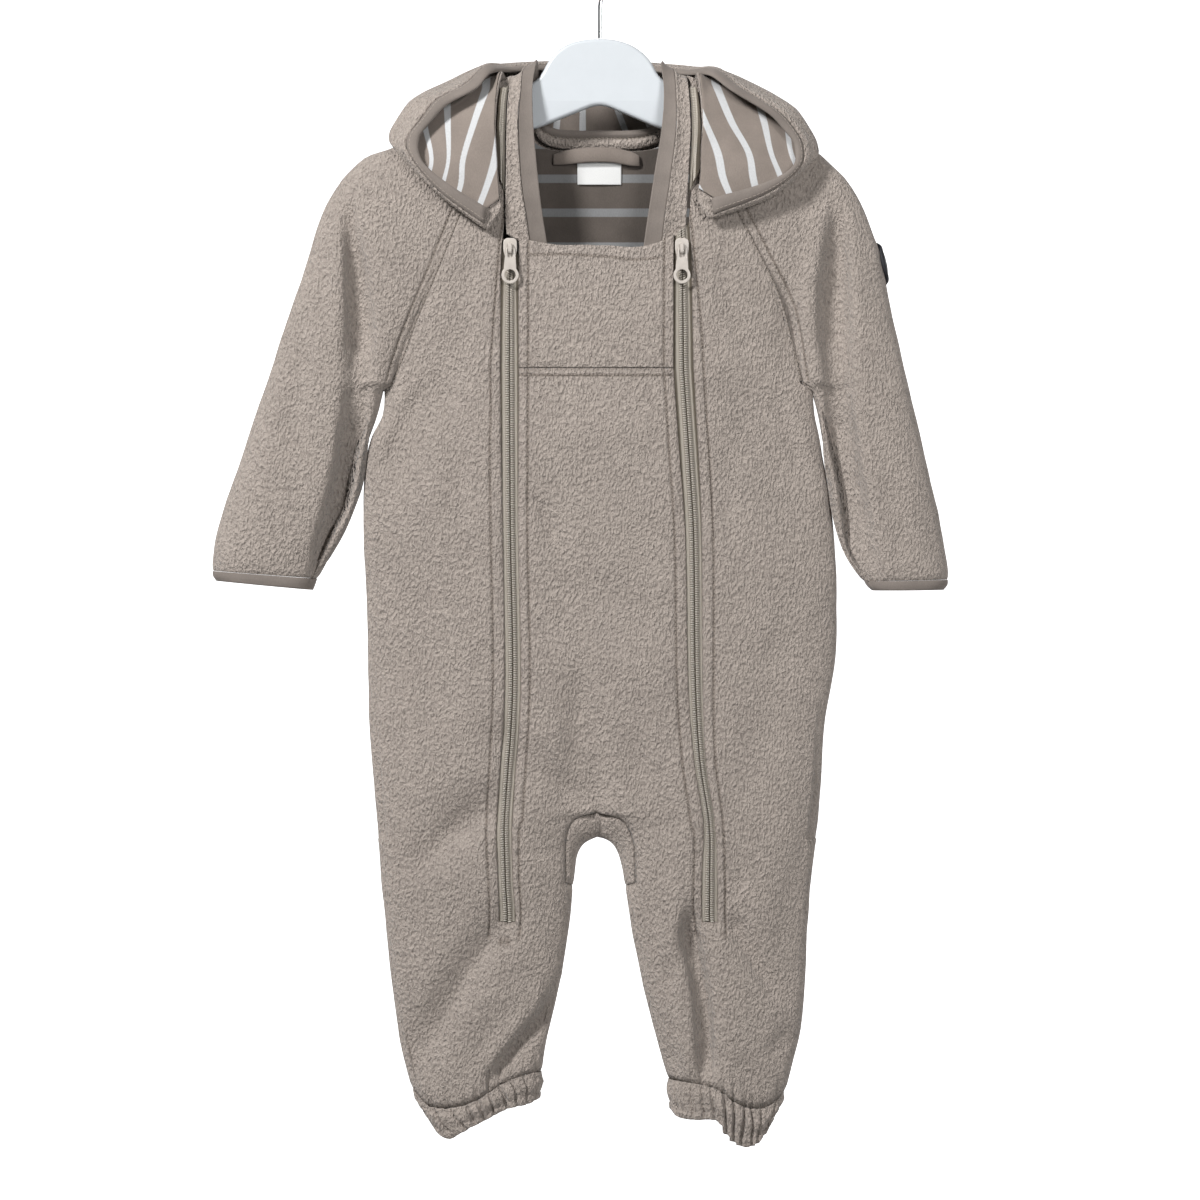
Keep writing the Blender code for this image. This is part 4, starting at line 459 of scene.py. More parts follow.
class Surface:
    """Points and labelled faces of the whole garment."""

    def __init__(self):
        self.points = []
        self.quads = []
        self.labels = []
        self.forks = {}

    def add(self, positions):
        start = len(self.points)
        self.points += [world(*p) for p in positions]
        return list(range(start, len(self.points)))

    def band(self, upper, lower, labels):
        """Faces between two closed rings."""
        count = len(upper)
        for i in range(count):
            j = (i + 1) % count
            self.quads.append((upper[i], lower[i], lower[j], upper[j]))
            self.labels.append(labels[i])

    def normals(self):
        out = [Vector() for _ in self.points]
        for a, b, c, d in self.quads:
            face = (self.points[c] - self.points[a]).cross(self.points[d] - self.points[b])
            for k in (a, b, c, d):
                out[k] += face
        for k, (one, other) in self.forks.items():
            branches = [(self.points[n] - self.points[k]).normalized() for n in (one, other)]
            out[k] = branches[0] + branches[1]
        return [n.normalized() for n in out]


def garment():
    """The shared surface, its end rings and its zip edges."""
    surface = Surface()
    columns = with_extra(refined(list(range(17)), FINE), EXTRA_COLUMNS)
    sleeve_columns = with_extra(refined(list(range(SLEEVE_COLUMNS + 1)), FINE), EXTRA_SLEEVE)
    steps = refined([2 * k / SIDE_COLUMNS - 1 for k in range(SIDE_COLUMNS + 1)], FINE)[1:-1]
    inner_sleeve = sleeve_columns[1:-1]

    def front_labels(row_label, yoke):
        out = []
        for c in columns[:-1]:
            slit = 4 <= c < 5 or 11 <= c < 12
            out.append("slit" if slit and row_label != "closed" else
                       ("front_yoke" if yoke and 5 <= c < 11 else "front"))
        return out

    half = len(steps) // 2 + 1
    zips = {"left": [], "right": []}
    tracks = {c: [] for c in TRACKS}
    z_cols = {"left": (columns.index(4), columns.index(5)), "right": (columns.index(11), columns.index(12))}

    # neck to armpits
    previous = None
    for t in with_extra(refined([k / UPPER_ROWS for k in range(UPPER_ROWS + 1)], FINE), EXTRA_UPPER):
        front = surface.add([upper_front(c, t) for c in columns])
        right_front = surface.add([upper_sleeve(True, c, t, 0) for c in inner_sleeve])
        right_ridge = surface.add([upper_sleeve(True, SLEEVE_COLUMNS, t, 0)])
        right_back = surface.add([upper_sleeve(True, c, t, 1) for c in inner_sleeve])
        back = surface.add([upper_back(c, t) for c in columns])
        left_back = surface.add([upper_sleeve(False, c, t, 1) for c in inner_sleeve])
        left_ridge = surface.add([upper_sleeve(False, SLEEVE_COLUMNS, t, 0)])
        left_front = surface.add([upper_sleeve(False, c, t, 0) for c in inner_sleeve])
        for side, (a, b) in z_cols.items():
            zips[side].append((front[a], front[b]))
        for c in TRACKS:
            tracks[c].append(front[columns.index(c)])
        ring = front + right_front + right_ridge + right_back[::-1] + back[::-1] + left_back + left_ridge \
            + left_front[::-1]
        if previous:
            sleeve = len(inner_sleeve) * 2 + 2
            labels = front_labels("open", True) + ["sleeve_right"] * sleeve \
                + ["back"] * (len(columns) - 1) + ["sleeve_left"] * sleeve
            surface.band(previous, ring, labels)
        previous = ring
    # underarms, shared by the body and the sleeves
    arm_right = surface.add([underarm(True, s) for s in steps])
    arm_left = surface.add([underarm(False, s) for s in steps])
    ends = {}
    arms = {}
    for right in (False, True):
        name = "right" if right else "left"
        if right:
            ring = [front[-1]] + right_front + right_ridge + right_back[::-1] + [back[-1]] + arm_right[::-1]
        else:
            ring = left_ridge + left_front[::-1] + [front[0]] + arm_left + [back[0]] + left_back
        for row in with_extra(refined(list(range(SLEEVE_ROWS + 1)), FINE), EXTRA_SLEEVE_ROWS)[1:]:
            fronts = [sleeve_point(right, c, row, 0) for c in sleeve_columns]
            backs = [sleeve_point(right, c, row, 1) for c in sleeve_columns]
            sides = [sleeve_side(right, s, row) for s in steps]
            if right:
                points = fronts + backs[-2::-1] + sides[::-1]
            else:
                points = fronts[::-1] + sides + backs[:-1]
            lower = surface.add(points)
            binding = row > CUFF_ROW + 1e-6
            surface.band(ring, lower, [("sleeve_binding_" if binding else "sleeve_") + name] * len(ring))
            for upper_point, lower_point in zip(ring, lower):
                if upper_point in (arm_right if right else arm_left):
                    arms[upper_point] = lower_point
            ring = lower
        ends["sleeve_" + name] = ring
    # armpits to crotch
    ring = front + arm_right + back[::-1] + arm_left[::-1]
    for down in with_extra(refined(BODY_ROWS, FINE), EXTRA_BODY)[1:]:
        front = surface.add([body_point(c, down, 0) for c in columns])
        side_right = surface.add([body_side(True, s, down) for s in steps])
        back = surface.add([body_point(c, down, 1) for c in columns])
        side_left = surface.add([body_side(False, s, down) for s in steps])
        for side, (a, b) in z_cols.items():
            zips[side].append((front[a], front[b]))
        for c in TRACKS:
            tracks[c].append(front[columns.index(c)])
        lower = front + side_right + back[::-1] + side_left[::-1]
        labels = front_labels("open", False) + ["front"] * half + ["back"] * (len(columns) - 1 + 2 * half) \
            + ["front"] * half
        surface.band(ring, lower, labels[:len(lower)])
        for upper_point, lower_point in zip(ring, lower):
            if upper_point in arms:
                surface.forks[upper_point] = (arms[upper_point], lower_point)
        ring = lower
    # legs
    middle = columns.index(8)
    crotch = surface.add([leg_inner(False, s, 0.0) for s in steps])
    rings = {"left": front[:middle + 1] + crotch + back[:middle + 1][::-1] + side_left[::-1],
             "right": front[middle:] + side_right + back[middle:][::-1] + crotch[::-1]}
    for right in (False, True):
        name = "right" if right else "left"
        own = columns[middle:] if right else columns[:middle + 1]
        ring = rings[name]
        for row in with_extra(refined(list(range(LEG_ROWS + 1)), FINE), EXTRA_LEG)[1:]:
            fronts = surface.add([leg_point(right, c, row, 0) for c in own])
            sides = surface.add([leg_side(right, s, row) for s in steps])
            backs = surface.add([leg_point(right, c, row, 1) for c in own])
            inner = surface.add([leg_inner(right, s, row) for s in steps])
            closed = row > ZIP_END_ROW + 1e-6
            if row < ZIP_END_ROW + 0.45:
                for c in TRACKS[1:-1]:
                    if c in own:
                        tracks[c].append(fronts[own.index(c)])
            if not closed:
                a, b = (own.index(11), own.index(12)) if right else (own.index(4), own.index(5))
                zips[name].append((fronts[a], fronts[b]))
            labels = ["slit" if not closed and (4 <= c < 5 or 11 <= c < 12) else "front" for c in own[:-1]]
            gusset = row < GUSSET_ROWS + 1e-6
            inner_front = ["gusset" if gusset else "front"] * half
            inner_back = ["gusset" if gusset else "back"] * half
            if right:
                lower = fronts + sides + backs[::-1] + inner[::-1]
                labels += ["front"] * half + ["back"] * (half + len(own) - 1) + inner_back + inner_front
            else:
                lower = fronts + inner + backs[::-1] + sides[::-1]
                labels += inner_front + inner_back + ["back"] * (len(own) - 1 + half) + ["front"] * half
            surface.band(ring, lower, labels)
            ring = lower
        ends["leg_" + name] = ring
    return surface, ends, zips, tracks


# ---------------------------------------------------------------- walls and solids
def inset_points(points, normals, faces, inset):
    """Points of a panel with its edges drawn in along the cloth."""
    edges = {(a, b): face for face in faces for a, b in zip(face, face[1:] + face[:1])}
    border = [(a, b) for a, b in edges if (b, a) not in edges]
    inward = {}
    for a, b in border:
        face = edges[(a, b)]
        centre = sum((points[k] for k in face), Vector()) / len(face)
        along_edge = (points[b] - points[a]).normalized()
        for k in (a, b):
            into = along_edge.cross(normals[k]).normalized()
            if into.dot(centre - points[a]) < 0:
                into = -into
            inward.setdefault(k, []).append(into)
    moved = {k: points[k] for face in faces for k in face}
    for k, directions in inward.items():
        total = sum(directions, Vector())
        if len(directions) == 2:
            total = total / max(0.35, 1 + directions[0].dot(directions[1]))
        moved[k] = points[k] + total * inset
    return moved, border


def grid_faces(rows, columns, closed=False):
    """Faces of a grid of points stored row by row."""
    faces = []
    for r in range(rows - 1):
        for c in range(columns if closed else columns - 1):
            d = (c + 1) % columns
            faces.append((r * columns + c, (r + 1) * columns + c, (r + 1) * columns + d, r * columns + d))
    return faces


def grid_normals(points, faces):
    out = [Vector() for _ in points]
    for face in faces:
        a, b, c, d = (points[k] for k in face)
        n = (c - a).cross(d - b)
        for k in face:
            out[k] += n
    return [n.normalized() for n in out]


# ---------------------------------------------------------------- collar, hood and linings
# Collar stations: seam x, y, down; stitch line x, y, down; free edge x, y, down.
COLLAR = [(0, -65, -16.2, 138, -48.5, -15.5, 147, -36, -14.5, 149),
          (1, -66, -18.5, 122, -51.5, -19, 125, -40, -18, 124),
          (2, -65.6, -19.5, 101, -55, -20, 101, -43, -19, 100),
          (3, -64.8, -16.5, 64, -57, -18, 62, -46.5, -16.5, 60),
          (4, -63.5, -11, 40, -55, -12, 37, -47, -11, 35),
          (5, -60.5, -2.5, 28, -53, -4, 23, -44.5, -4, 19),
          (6, -54, 8, 34, -49, 7, 24, -43, 6, 18),
          (7, -41, 14.5, 70.5, -40.5, 13.5, 62.5, -40, 12, 57),
          (8, 0, 17.0, 75.5, 0, 16, 67.5, 0, 14.5, 62.5),
          (9, 41, 14.5, 70.5, 40.5, 13.5, 62.5, 40, 12, 57),
          (10, 54, 8, 34, 48.8, 7, 26, 43, 6, 19),
          (11, 59.5, -2.5, 28, 51.4, -3.4, 24, 42.5, -4, 20),
          (12, 62, -11, 42, 53, -12, 40, 44.5, -11, 38),
          (13, 62.8, -16.5, 68, 53, -18, 65, 43, -16.5, 63),
          (14, 61.5, -19.5, 96, 49, -20, 99, 37.5, -19, 98),
          (15, 60.5, -18.5, 118, 45, -19, 126, 33, -18, 127),
          (16, 59.5, -16.2, 136, 43, -15.5, 145, 30, -14.5, 148)]
# Hood stations, each point as x, y, down: neck; near side, bottom and far side of the bag; outermost
# line; fleece edge; face edge.
HOOD = [(0, -69, -22.5, 121, -71, -22.8, 125, -73.2, -23, 128.7, -75.3, -23.5, 132, -77.5, -24, 135.5,
         -80.5, -29, 132, -79, -30, 120.5),
        (1, -70.5, -22.5, 100, -81, -23, 104, -92, -23, 107.5, -102, -22.5, 110, -111, -22.5, 111,
         -112, -29, 109, -106, -30, 103.5),
        (2, -71.5, -21.5, 81, -90, -22, 83, -108, -21, 85, -126, -18, 84.5, -141, -17, 81,
         -131, -28, 86, -123.5, -29.5, 88),
        (3, -72, -20.5, 63, -93, -15, 58, -113, -9, 55, -131, -5, 60, -147, -9, 67,
         -134, -25, 71, -125, -26, 70),
        (3.5, -71.5, -18.5, 54, -91, -9, 46, -110, 0, 48, -127, 1, 52, -140, -6, 54,
         -124, -22, 57, -116, -24, 58.5),
        (4, -70.5, -15, 43, -90, 0, 37, -107, 8, 50, -123, 10, 50, -131, -3, 43,
         -115, -21, 45, -106, -24, 48),
        (5, -67, -6, 26, -80, 13, 36, -93, 26, 92, -107, 37, 66, -106, 12, 28,
         -94, -14, 32, -86, -22, 35.5),
        (5.5, -65, 6.5, 27, -76, 19, 55, -86, 30, 130, -95, 43, 80, -87, 24, 19,
         -80, -2, 18, -76.5, -15, 24.5),
        (6, -61, 12, 37, -69, 20, 82, -78, 33, 165, -81, 44, 92, -65, 33, 14,
         -63, 22, 16, -61.5, 14, 20),
        (7, -38, 20, 71, -39.5, 23, 137, -42, 36, 222, -42, 51, 130, -34, 42, 12,
         -33, 31.5, 13, -32.5, 28.5, 17),
        (8, 0, 20.8, 75, 0, 23, 148, 0, 37, 238, 0, 53, 140, 0, 45, 12, 0, 34.5, 12.5, 0, 31.5, 16.5),
        (9, 38, 20, 71, 39.5, 23, 137, 42, 36, 222, 42, 51, 130, 34, 42, 13,
         33, 31.5, 14, 32.5, 28.5, 18),
        (10, 61, 12, 37, 69, 20, 82, 78, 33, 165, 81, 44, 92, 65, 33, 16,
         63, 22, 18, 61.5, 14, 22),
        (10.5, 65, 7.5, 28, 76, 19, 56, 86, 30, 130, 95, 43, 80, 87, 24, 21,
         81, -2, 19.5, 77, -15, 26),
        (11, 66.5, -6, 26.5, 80, 13, 36, 93, 26, 92, 108, 37, 66, 107, 12, 30,
         97, -15, 34, 91, -23, 37),
        (12, 69, -15, 43, 90, 0, 36, 107, 9, 50, 125, 12, 53, 135, -3, 48,
         124, -21, 52, 117, -24, 54),
        (12.5, 70, -18.5, 54, 91, -9, 46, 110, 0, 48, 130, 2, 57, 145, -6, 61,
         134, -22, 63, 127, -24, 64.5),
        (13, 70.5, -20.5, 63, 93, -15, 58, 113, -9, 57, 133, -6, 64, 151.5, -9, 74,
         141, -24, 75.5, 135, -25, 76),
        (14, 70, -21.5, 81, 90, -22, 84, 108, -21, 88, 130, -18, 89.5, 148, -17, 87,
         138.5, -28, 93, 133, -29.5, 93),
        (15, 69.5, -22.5, 98, 82, -23, 103, 95, -23, 108, 107, -22.5, 112, 118, -22.5, 113,
         116.5, -29, 110.5, 111, -30, 104.5),
        (16, 67, -22.5, 114, 69, -22.8, 117.5, 71, -23, 121, 73, -23.5, 124.5, 75, -24, 128,
         78.5, -29, 125.5, 77.5, -30, 114)]
HOOD_FACES = (2, 2, 1, 2, 2)   # from the neck to near side, bottom, far side and outermost line
HOOD_PROFILE = sum(HOOD_FACES)
BAG_BOTTOM = 4.5          # half width of the bottom of the bag
RIM_CURL = 2              # faces from there to the fleece edge
BINDING_FACES = 1
COLLAR_FACES = 2
HOOD_ZIP = {"left": (1.5, 4.4), "right": (11.6, 14.7)}   # collar stations where it shows
RIM_ROLL = 3.5            # how far the fold of the rim reaches out


def collar_grid(fine=1):
    """Grid from the seam over the stitch line to the free edge of the collar."""
    points = []
    for station in refined([k / 2 for k in range(33)], fine):
        row = smooth_row(COLLAR, station)
        seam, stitch, edge = (world(*row[k:k + 3]) for k in (0, 3, 6))
        half = COLLAR_FACES * fine
        points += [seam.lerp(stitch, k / half) for k in range(half)]
        points += [stitch.lerp(edge, k / half) for k in range(half + 1)]
    return points, 2 * COLLAR_FACES * fine + 1


def bezier(a, b, c, d, t):
    s = 1 - t
    return a * s**3 + b * (3 * s * s * t) + c * (3 * s * t * t) + d * t**3


def hood_section(station, fine=1):
    """Points of one section of the hood: round the bag, over the rim and across the binding."""
    row = smooth_row(HOOD, station)
    marks = [Vector((row[k], row[k + 1], -HANGER_DROP - row[k + 2])) for k in range(0, 21, 3)]
    neck, near, bottom, far, rim, edge, face = marks
    across = (far - near).normalized() * min(BAG_BOTTOM, 0.2 * (far - near).length)
    bag = [neck, near, bottom - across, bottom + across, far, rim]
    points = []
    for k, faces in enumerate(HOOD_FACES):
        low, high = (sum((a - b).length for a, b in zip(bag[:n], bag[1:n + 1])) for n in (k, k + 1))
        whole = sum((a - b).length for a, b in zip(bag, bag[1:]))
        for step in range(faces * fine + (k == len(HOOD_FACES) - 1)):
            share = mix(low, high, step / (faces * fine)) / whole
            points.append(Vector(along([tuple(m) for m in bag], share)))
    rim = points[-1]
    reach = min(RIM_ROLL, (rim - edge).length * 0.45)
    roll = rim + (rim - points[-2]).normalized() * reach
    landing = edge + (edge - face).normalized() * reach
    curl = RIM_CURL * fine
    points += [bezier(rim, roll, landing, edge, k / curl) for k in range(1, curl + 1)]
    strip = BINDING_FACES * fine
    points += [edge.lerp(face, k / strip) for k in range(1, strip + 1)]
    return points



TAPE = 0.9                # thickness of the zip tape
CHAIN_HEIGHT = 1.5        # of the closed teeth above the tape
TAPE_DEPTH = 1.7          # outer face of the tape below the fleece
ZIP_TOP_DOWN = 150.0      # the chain starts under the slider


LOOP = [(-33, 83.5, 8), (-24, 82, 10.5), (-8, 80.5, 11), (8, 80.5, 11), (22, 83, 10.5),
        (28, 84.5, 8)]                              # x, down and width of the hanging loop
LOOP_BOW = 2.2                                      # it stands off the lining in the middle
LABEL_CLOTH = 0.35
LINING_CLOTH = 0.8
LABEL = (-16, 15, 82, 101)                          # left, right, top and bottom of the neck label
LINING_TOP = 84.0                                   # the whole lining is there from here down
LINING_DEPTH = 205.0                                # down to where the neck lining is sewn
LINING_ROOM = 8.0                                  # it stops where the shoulders get flatter
BADGE_WAY = 0.697
BADGE_BEHIND = 9.5
RIDGE_LENGTH = 283.7
BADGE_RADIUS = 16.0
BADGE_THICKNESS = 1.8
BADGE_GAP = 1.8                                     # it is stiffer than the cloth under it


SLIDER_DOWN = {"left": 148.5, "right": 148.5}
SLIDER_LENGTH = 15.0
SLIDER_WIDTH = 9.6
SLIDER_PLATE = 2.0
BAIL_WIDTH = 2.4
BAIL_REACH = 3.6          # from the pull's axis to the outside of the bail's posts
BAIL_POST = 1.2
AXIS_HEIGHT = 1.2         # of the pull's axis over the slider's plate
BAIL_TOP = 1.1
PULL_THICKNESS = 1.2
PULL_BAR = 1.2
FORK_LENGTH = 6.2
FORK_GAP = 1.7            # half width of the fork's opening
PULL_HALF = (3.3, 4.2, 4.3)   # half widths at the axis, under the fork and above the ring
PULL_NECK = 12.0
RING_DOWN = 18.5
RING_RADIUS = 6.0
RING_HOLE = 3.9


def slider_frame(frames, down):
    """Middle, down direction and outward direction of the chain at a height."""
    k = min(range(len(frames) - 1), key=lambda i: abs(-HANGER_DROP - frames[i][0].z - down))
    middle = (frames[k][0] + frames[k][1]) / 2
    other = (frames[k + 1][0] + frames[k + 1][1]) / 2
    run = (other - middle)
    run = Vector((0, run.y, run.z)).normalized()
    middle = middle + run * ((-HANGER_DROP - down - middle.z) / run.z)
    out = run.cross(Vector((1, 0, 0)))
    if out.y > 0:
        out = -out
    return middle + out * (CHAIN_HEIGHT - TAPE_DEPTH + LAY_GAP), run, out


def circle(radius, count, centre=(0.0, 0.0), start=0.0, end=2 * math.pi, closed=True):
    steps = count if closed else count - 1
    return [(centre[0] + radius * math.cos(mix(start, end, k / steps)),
             centre[1] + radius * math.sin(mix(start, end, k / steps))) for k in range(count)]


HANGER_THICKNESS = 9.0
HANGER_BEVEL = 2.8
ARM_BELOW_RIDGE = 9.0     # top of the arms under the outside of the shoulders
ARM_HEIGHT = 16.0
HANGER_NECK = [(-42, 27), (-36.5, 16.5), (-30.8, 9), (-22, 3.4), (-11, 0.7), (0, 0), (11, 0.8), (22, 4.2),
               (31.5, 11), (36.5, 17.5), (41.3, 27)]
HANGER_UNDERSIDE = [(58, 66), (42, 63), (0, 45), (-46, 63.5), (-60, 66)]      # between the arms
ARM_ENDS = 143.0
HOOK_WIRE = 3.8
HOOK_INSIDE = 17.5        # radius of the crook's inside
HOOK_TURN = (-55, 205)    # degrees from +X over the top
HOOK_SHANK = [(0, 0, -HANGER_DROP + 0.3), (0, 0, -60), (0, 0, -52), (1.1, 0, -45), (5.2, 0, -38.8)]


def arm_line(ridge, sign):
    """Top of a hanger arm, under the shoulder's ridge, from the neck outwards."""
    by_x = sorted((sign * x, down) for x, down in ridge)
    line = [(50, 32.5), (62, 37.5)]
    line += [(x, smooth_row(by_x, x)[0] + ARM_BELOW_RIDGE) for x in (76, 92, 108, 124, 136)]
    return [(sign * x, down) for x, down in line]




# ---------------------------------------------------------------- meshes
def with_extra(values, extra):
    """A rising list with more values in it."""
    return sorted(set(values) | set(extra))


def placed(name, data):
    """A new object in the scene."""
    obj = bpy.data.objects.new(name, data)
    bpy.context.scene.collection.objects.link(obj)
    return obj


def riding(obj, body, parts):
    """It rides on a body and stands for the part's nodes."""
    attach(obj, body)
    if parts:
        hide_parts(*parts)
    return obj


def new_mesh(name, points, faces, body="overall", parts=()):
    """An object from points in millimetres."""
    mesh = bpy.data.meshes.new(name)
    mesh.from_pydata([tuple(c * MM for c in p) for p in points], [], faces)
    mesh.validate()
    mesh.update()
    mesh.shade_smooth()
    return riding(placed(name, mesh), body, parts)


def border_distance(points, faces, border, reach=16.0):
    """Distance along the cloth from each point to the nearest border."""
    near = {}
    for face in faces:
        for a, b in zip(face, face[1:] + face[:1]):
            near.setdefault(a, set()).add(b)
            near.setdefault(b, set()).add(a)
    heap = [(0.0, k) for k in {k for edge in border for k in edge}]
    distance = {}
    while heap:
        d, k = heapq.heappop(heap)
        if k in distance or d > reach:
            continue
        distance[k] = d
        for n in near[k]:
            if n not in distance:
                heapq.heappush(heap, (d + (points[n] - points[k]).length, n))
    return {k: distance.get(k, reach) for k in near}


def cloth(name, points, normals, faces, thickness, parts=(), lift=0.0, inset=SEAM_GAP / 2, roll=1.1, shape=None,
          painted_seam_shade=None):
    """A closed wall with edges that roll in. shape(point, key) is how far a point stands out."""
    moved, border = inset_points(points, normals, faces, inset)
    distance = border_distance(points, faces, border)
    order = sorted(moved)
    place = {k: i for i, k in enumerate(order)}
    count = len(order)
    outer, inner = [], []
    for k in order:
        out = lift - roll * math.exp(-((distance[k] / 2.2) ** 1.3))
        if shape:
            out += shape(points[k], k) * min(1.0, 0.35 + distance[k] / 3)
        outer.append(moved[k] + normals[k] * out)
        dent = out - lift
        inner.append(moved[k] + normals[k] * (lift - thickness + 0.6 * max(dent, -0.4) + min(dent + 0.4, 0.0)))
    rim = {}
    middles = []
    for a, b in border:
        for k in (a, b):
            if k not in rim:
                rim[k] = 2 * count + len(middles)
                out = (moved[k] - points[k])
                edge = (outer[place[k]] + inner[place[k]]) / 2
                middles.append(edge - out * 0.6)
    solid = [tuple(place[k] for k in face) for face in faces]
    solid += [tuple(place[k] + count for k in reversed(face)) for face in faces]
    for a, b in border:
        solid.append((place[b], place[a], rim[a], rim[b]))
        solid.append((rim[b], rim[a], place[a] + count, place[b] + count))
    obj = new_mesh(name, outer + inner + middles, solid, parts=parts)
    # The rolled-in edges and the stitch lines get a darker colour: painted shade of the seams and the stitch
    # grooves.
    tone = obj.data.attributes.new("painted_seam_shade", "FLOAT", "POINT")
    edge = [0.55 * math.exp(-((distance[k] / 0.9) ** 2)) * min(1.0, roll) for k in order]
    pressed = [painted_seam_shade(points[k]) if painted_seam_shade else 0.0 for k in order]
    tone.data.foreach_set("value", [max(a, b) for a, b in zip(edge, pressed)] + [0.0] * (count + len(middles)))
    return obj, outer, order


def finder(points):
    """Search tree over points."""
    tree = KDTree(len(points))
    for k, p in enumerate(points):
        tree.insert(p, k)
    tree.balance()
    return tree


def tree_of(*objs):
    """Search tree over the faces of objects, in millimetres."""
    verts, faces = [], []
    for obj in objs:
        start = len(verts)
        verts += [v.co / MM for v in obj.data.vertices]
        faces += [tuple(k + start for k in p.vertices) for p in obj.data.polygons]
    return BVHTree.FromPolygons(verts, faces)


# ---------------------------------------------------------------- seams and small folds
# Creases finer than the part's folds: side, path of x and down, half width, depth, ridge on its right.
CREASES = [("front", [(-41, 326), (-36, 341), (-30, 355)], 4.5, 2.2, 0.8),
           ("front", [(-46, 490), (-34, 508), (-20, 532)], 7, 2.2, 0.6),
           ("front", [(-75.6, 622), (-83, 639), (-96, 657), (-113, 691), (-124, 706)], 5.0, 3.0, -1.0),
           ("front", [(-29, 662), (-40, 684), (-54, 699), (-69, 718), (-77, 729)], 4.5, 4.4, 1.1),
           ("front", [(-56, 640), (-64, 680), (-92, 722)], 12, 1.6, 0.0),
           ("front", [(-74, 533), (-96, 548), (-122, 572)], 9, 2.6, -0.5),
           ("front", [(64.5, 604), (61.5, 622), (66.9, 650), (70.9, 669), (72.9, 695), (73.5, 731)],
            5.2, 6.4, 0.9),
           ("front", [(62, 622), (56, 638), (47, 664)], 6, 2.0, 0.4),
           ("front", [(89, 611), (100, 631), (111, 650), (122, 664)], 5.5, 3.0, 1.0),
           ("front", [(133, 694), (126, 702), (117, 711)], 6.5, 2.4, 0.5),
           ("front", [(46, 706), (54, 722)], 7, 1.6, 0.0), ("front", [(97, 585), (90, 602)], 6, 1.4, 0.0),
           ("front", [(96, 712), (108, 734)], 8, 1.5, 0.4),
           ("front", [(-15, 450), (-16, 520)], 9, 1.8, 0.4), ("front", [(22, 500), (30, 540)], 8, 1.4, 0.3),
           ("front", [(-104, 262), (-97, 300), (-99, 345)], 8, 1.8, 0.5),
           ("front", [(-122, 244), (-134, 264), (-149, 300)], 5, 2.2, 0.7),
           ("front", [(100, 262), (90, 300), (86, 345)], 9, 1.7, -0.5),
           ("front", [(122, 244), (132, 276), (143, 318)], 5, 2.2, -0.7),
           ("front", [(-86, 150), (-95, 182), (-99, 226)], 9, 1.6, 0.3),
           ("front", [(82, 150), (95, 190), (104, 232)], 8, 1.6, -0.3),
           ("front", [(130, 400), (116, 470), (96, 540)], 14, 1.7, 0.4),
           ("front", [(-132, 380), (-120, 430), (-96, 486)], 14, 1.7, -0.4),
           ("front", [(148, 548), (132, 600), (128, 640)], 10, 1.6, 0.4),
           ("front", [(-206, 180), (-210, 240), (-218, 310)], 9, 2.0, 0.5),
           ("front", [(174, 182), (166, 236), (163, 296)], 9, 3.0, 0.6),
           ("front", [(151, 88), (146, 116), (137, 150), (131, 196), (133, 240)], 9, 2.6, -0.3),
           ("front", [(-177, 118), (-170, 146), (-166, 176)], 8, 2.0, 0.4),
           ("front", [(-176, 300), (-188, 340), (-204, 372)], 9, 2.0, 0.4),
           ("front", [(196, 300), (205, 340), (214, 372)], 9, 2.0, -0.4),
           ("back", [(-150, 330), (-80, 372)], 9, 1.6, 0.4), ("back", [(150, 340), (84, 380)], 9, 1.6, 0.4),
           ("back", [(-105, 600), (-60, 700)], 7, 1.8, 0.5), ("back", [(112, 600), (70, 700)], 7, 1.8, 0.5),
           ("back", [(-10, 160), (14, 420)], 12, 1.2, 0.3), ("back", [(60, 420), (30, 560)], 12, 1.4, 0.3),
           ("back", [(-70, 440), (-26, 570)], 12, 1.4, 0.3)]
GATHER_REACH = 22.0       # how far the gathers of a casing run up into the leg
# Creases of the leg casings: share from outer to inner edge in the front view, half width, depth, slant.
GATHERS = (
    [(0.05, 0.016, 1.2, 0.02), (0.2, 0.018, 3.2, 0.09), (0.32, 0.016, 3.4, 0.08), (0.43, 0.018, 4.2, 0.03),
    (0.515, 0.015, 4.6, 0.02), (0.6, 0.012, 3.6, 0.01), (0.7, 0.014, 3.8, 0.04), (0.79, 0.014, 4.0, 0.04),
    (0.88, 0.012, 3.0, 0.03), (0.955, 0.01, 2.0, 0.0)],
    [(0.1, 0.014, 3.0, 0.06), (0.2, 0.014, 3.2, 0.0), (0.265, 0.013, 3.6, -0.04), (0.345, 0.016, 4.6, 0.01),
    (0.425, 0.014, 4.2, -0.03), (0.5, 0.014, 4.0, -0.05), (0.61, 0.016, 2.6, -0.05),
    (0.7, 0.016, 2.8, -0.03), (0.8, 0.014, 2.0, -0.02), (0.93, 0.014, 1.4, 0.0)])


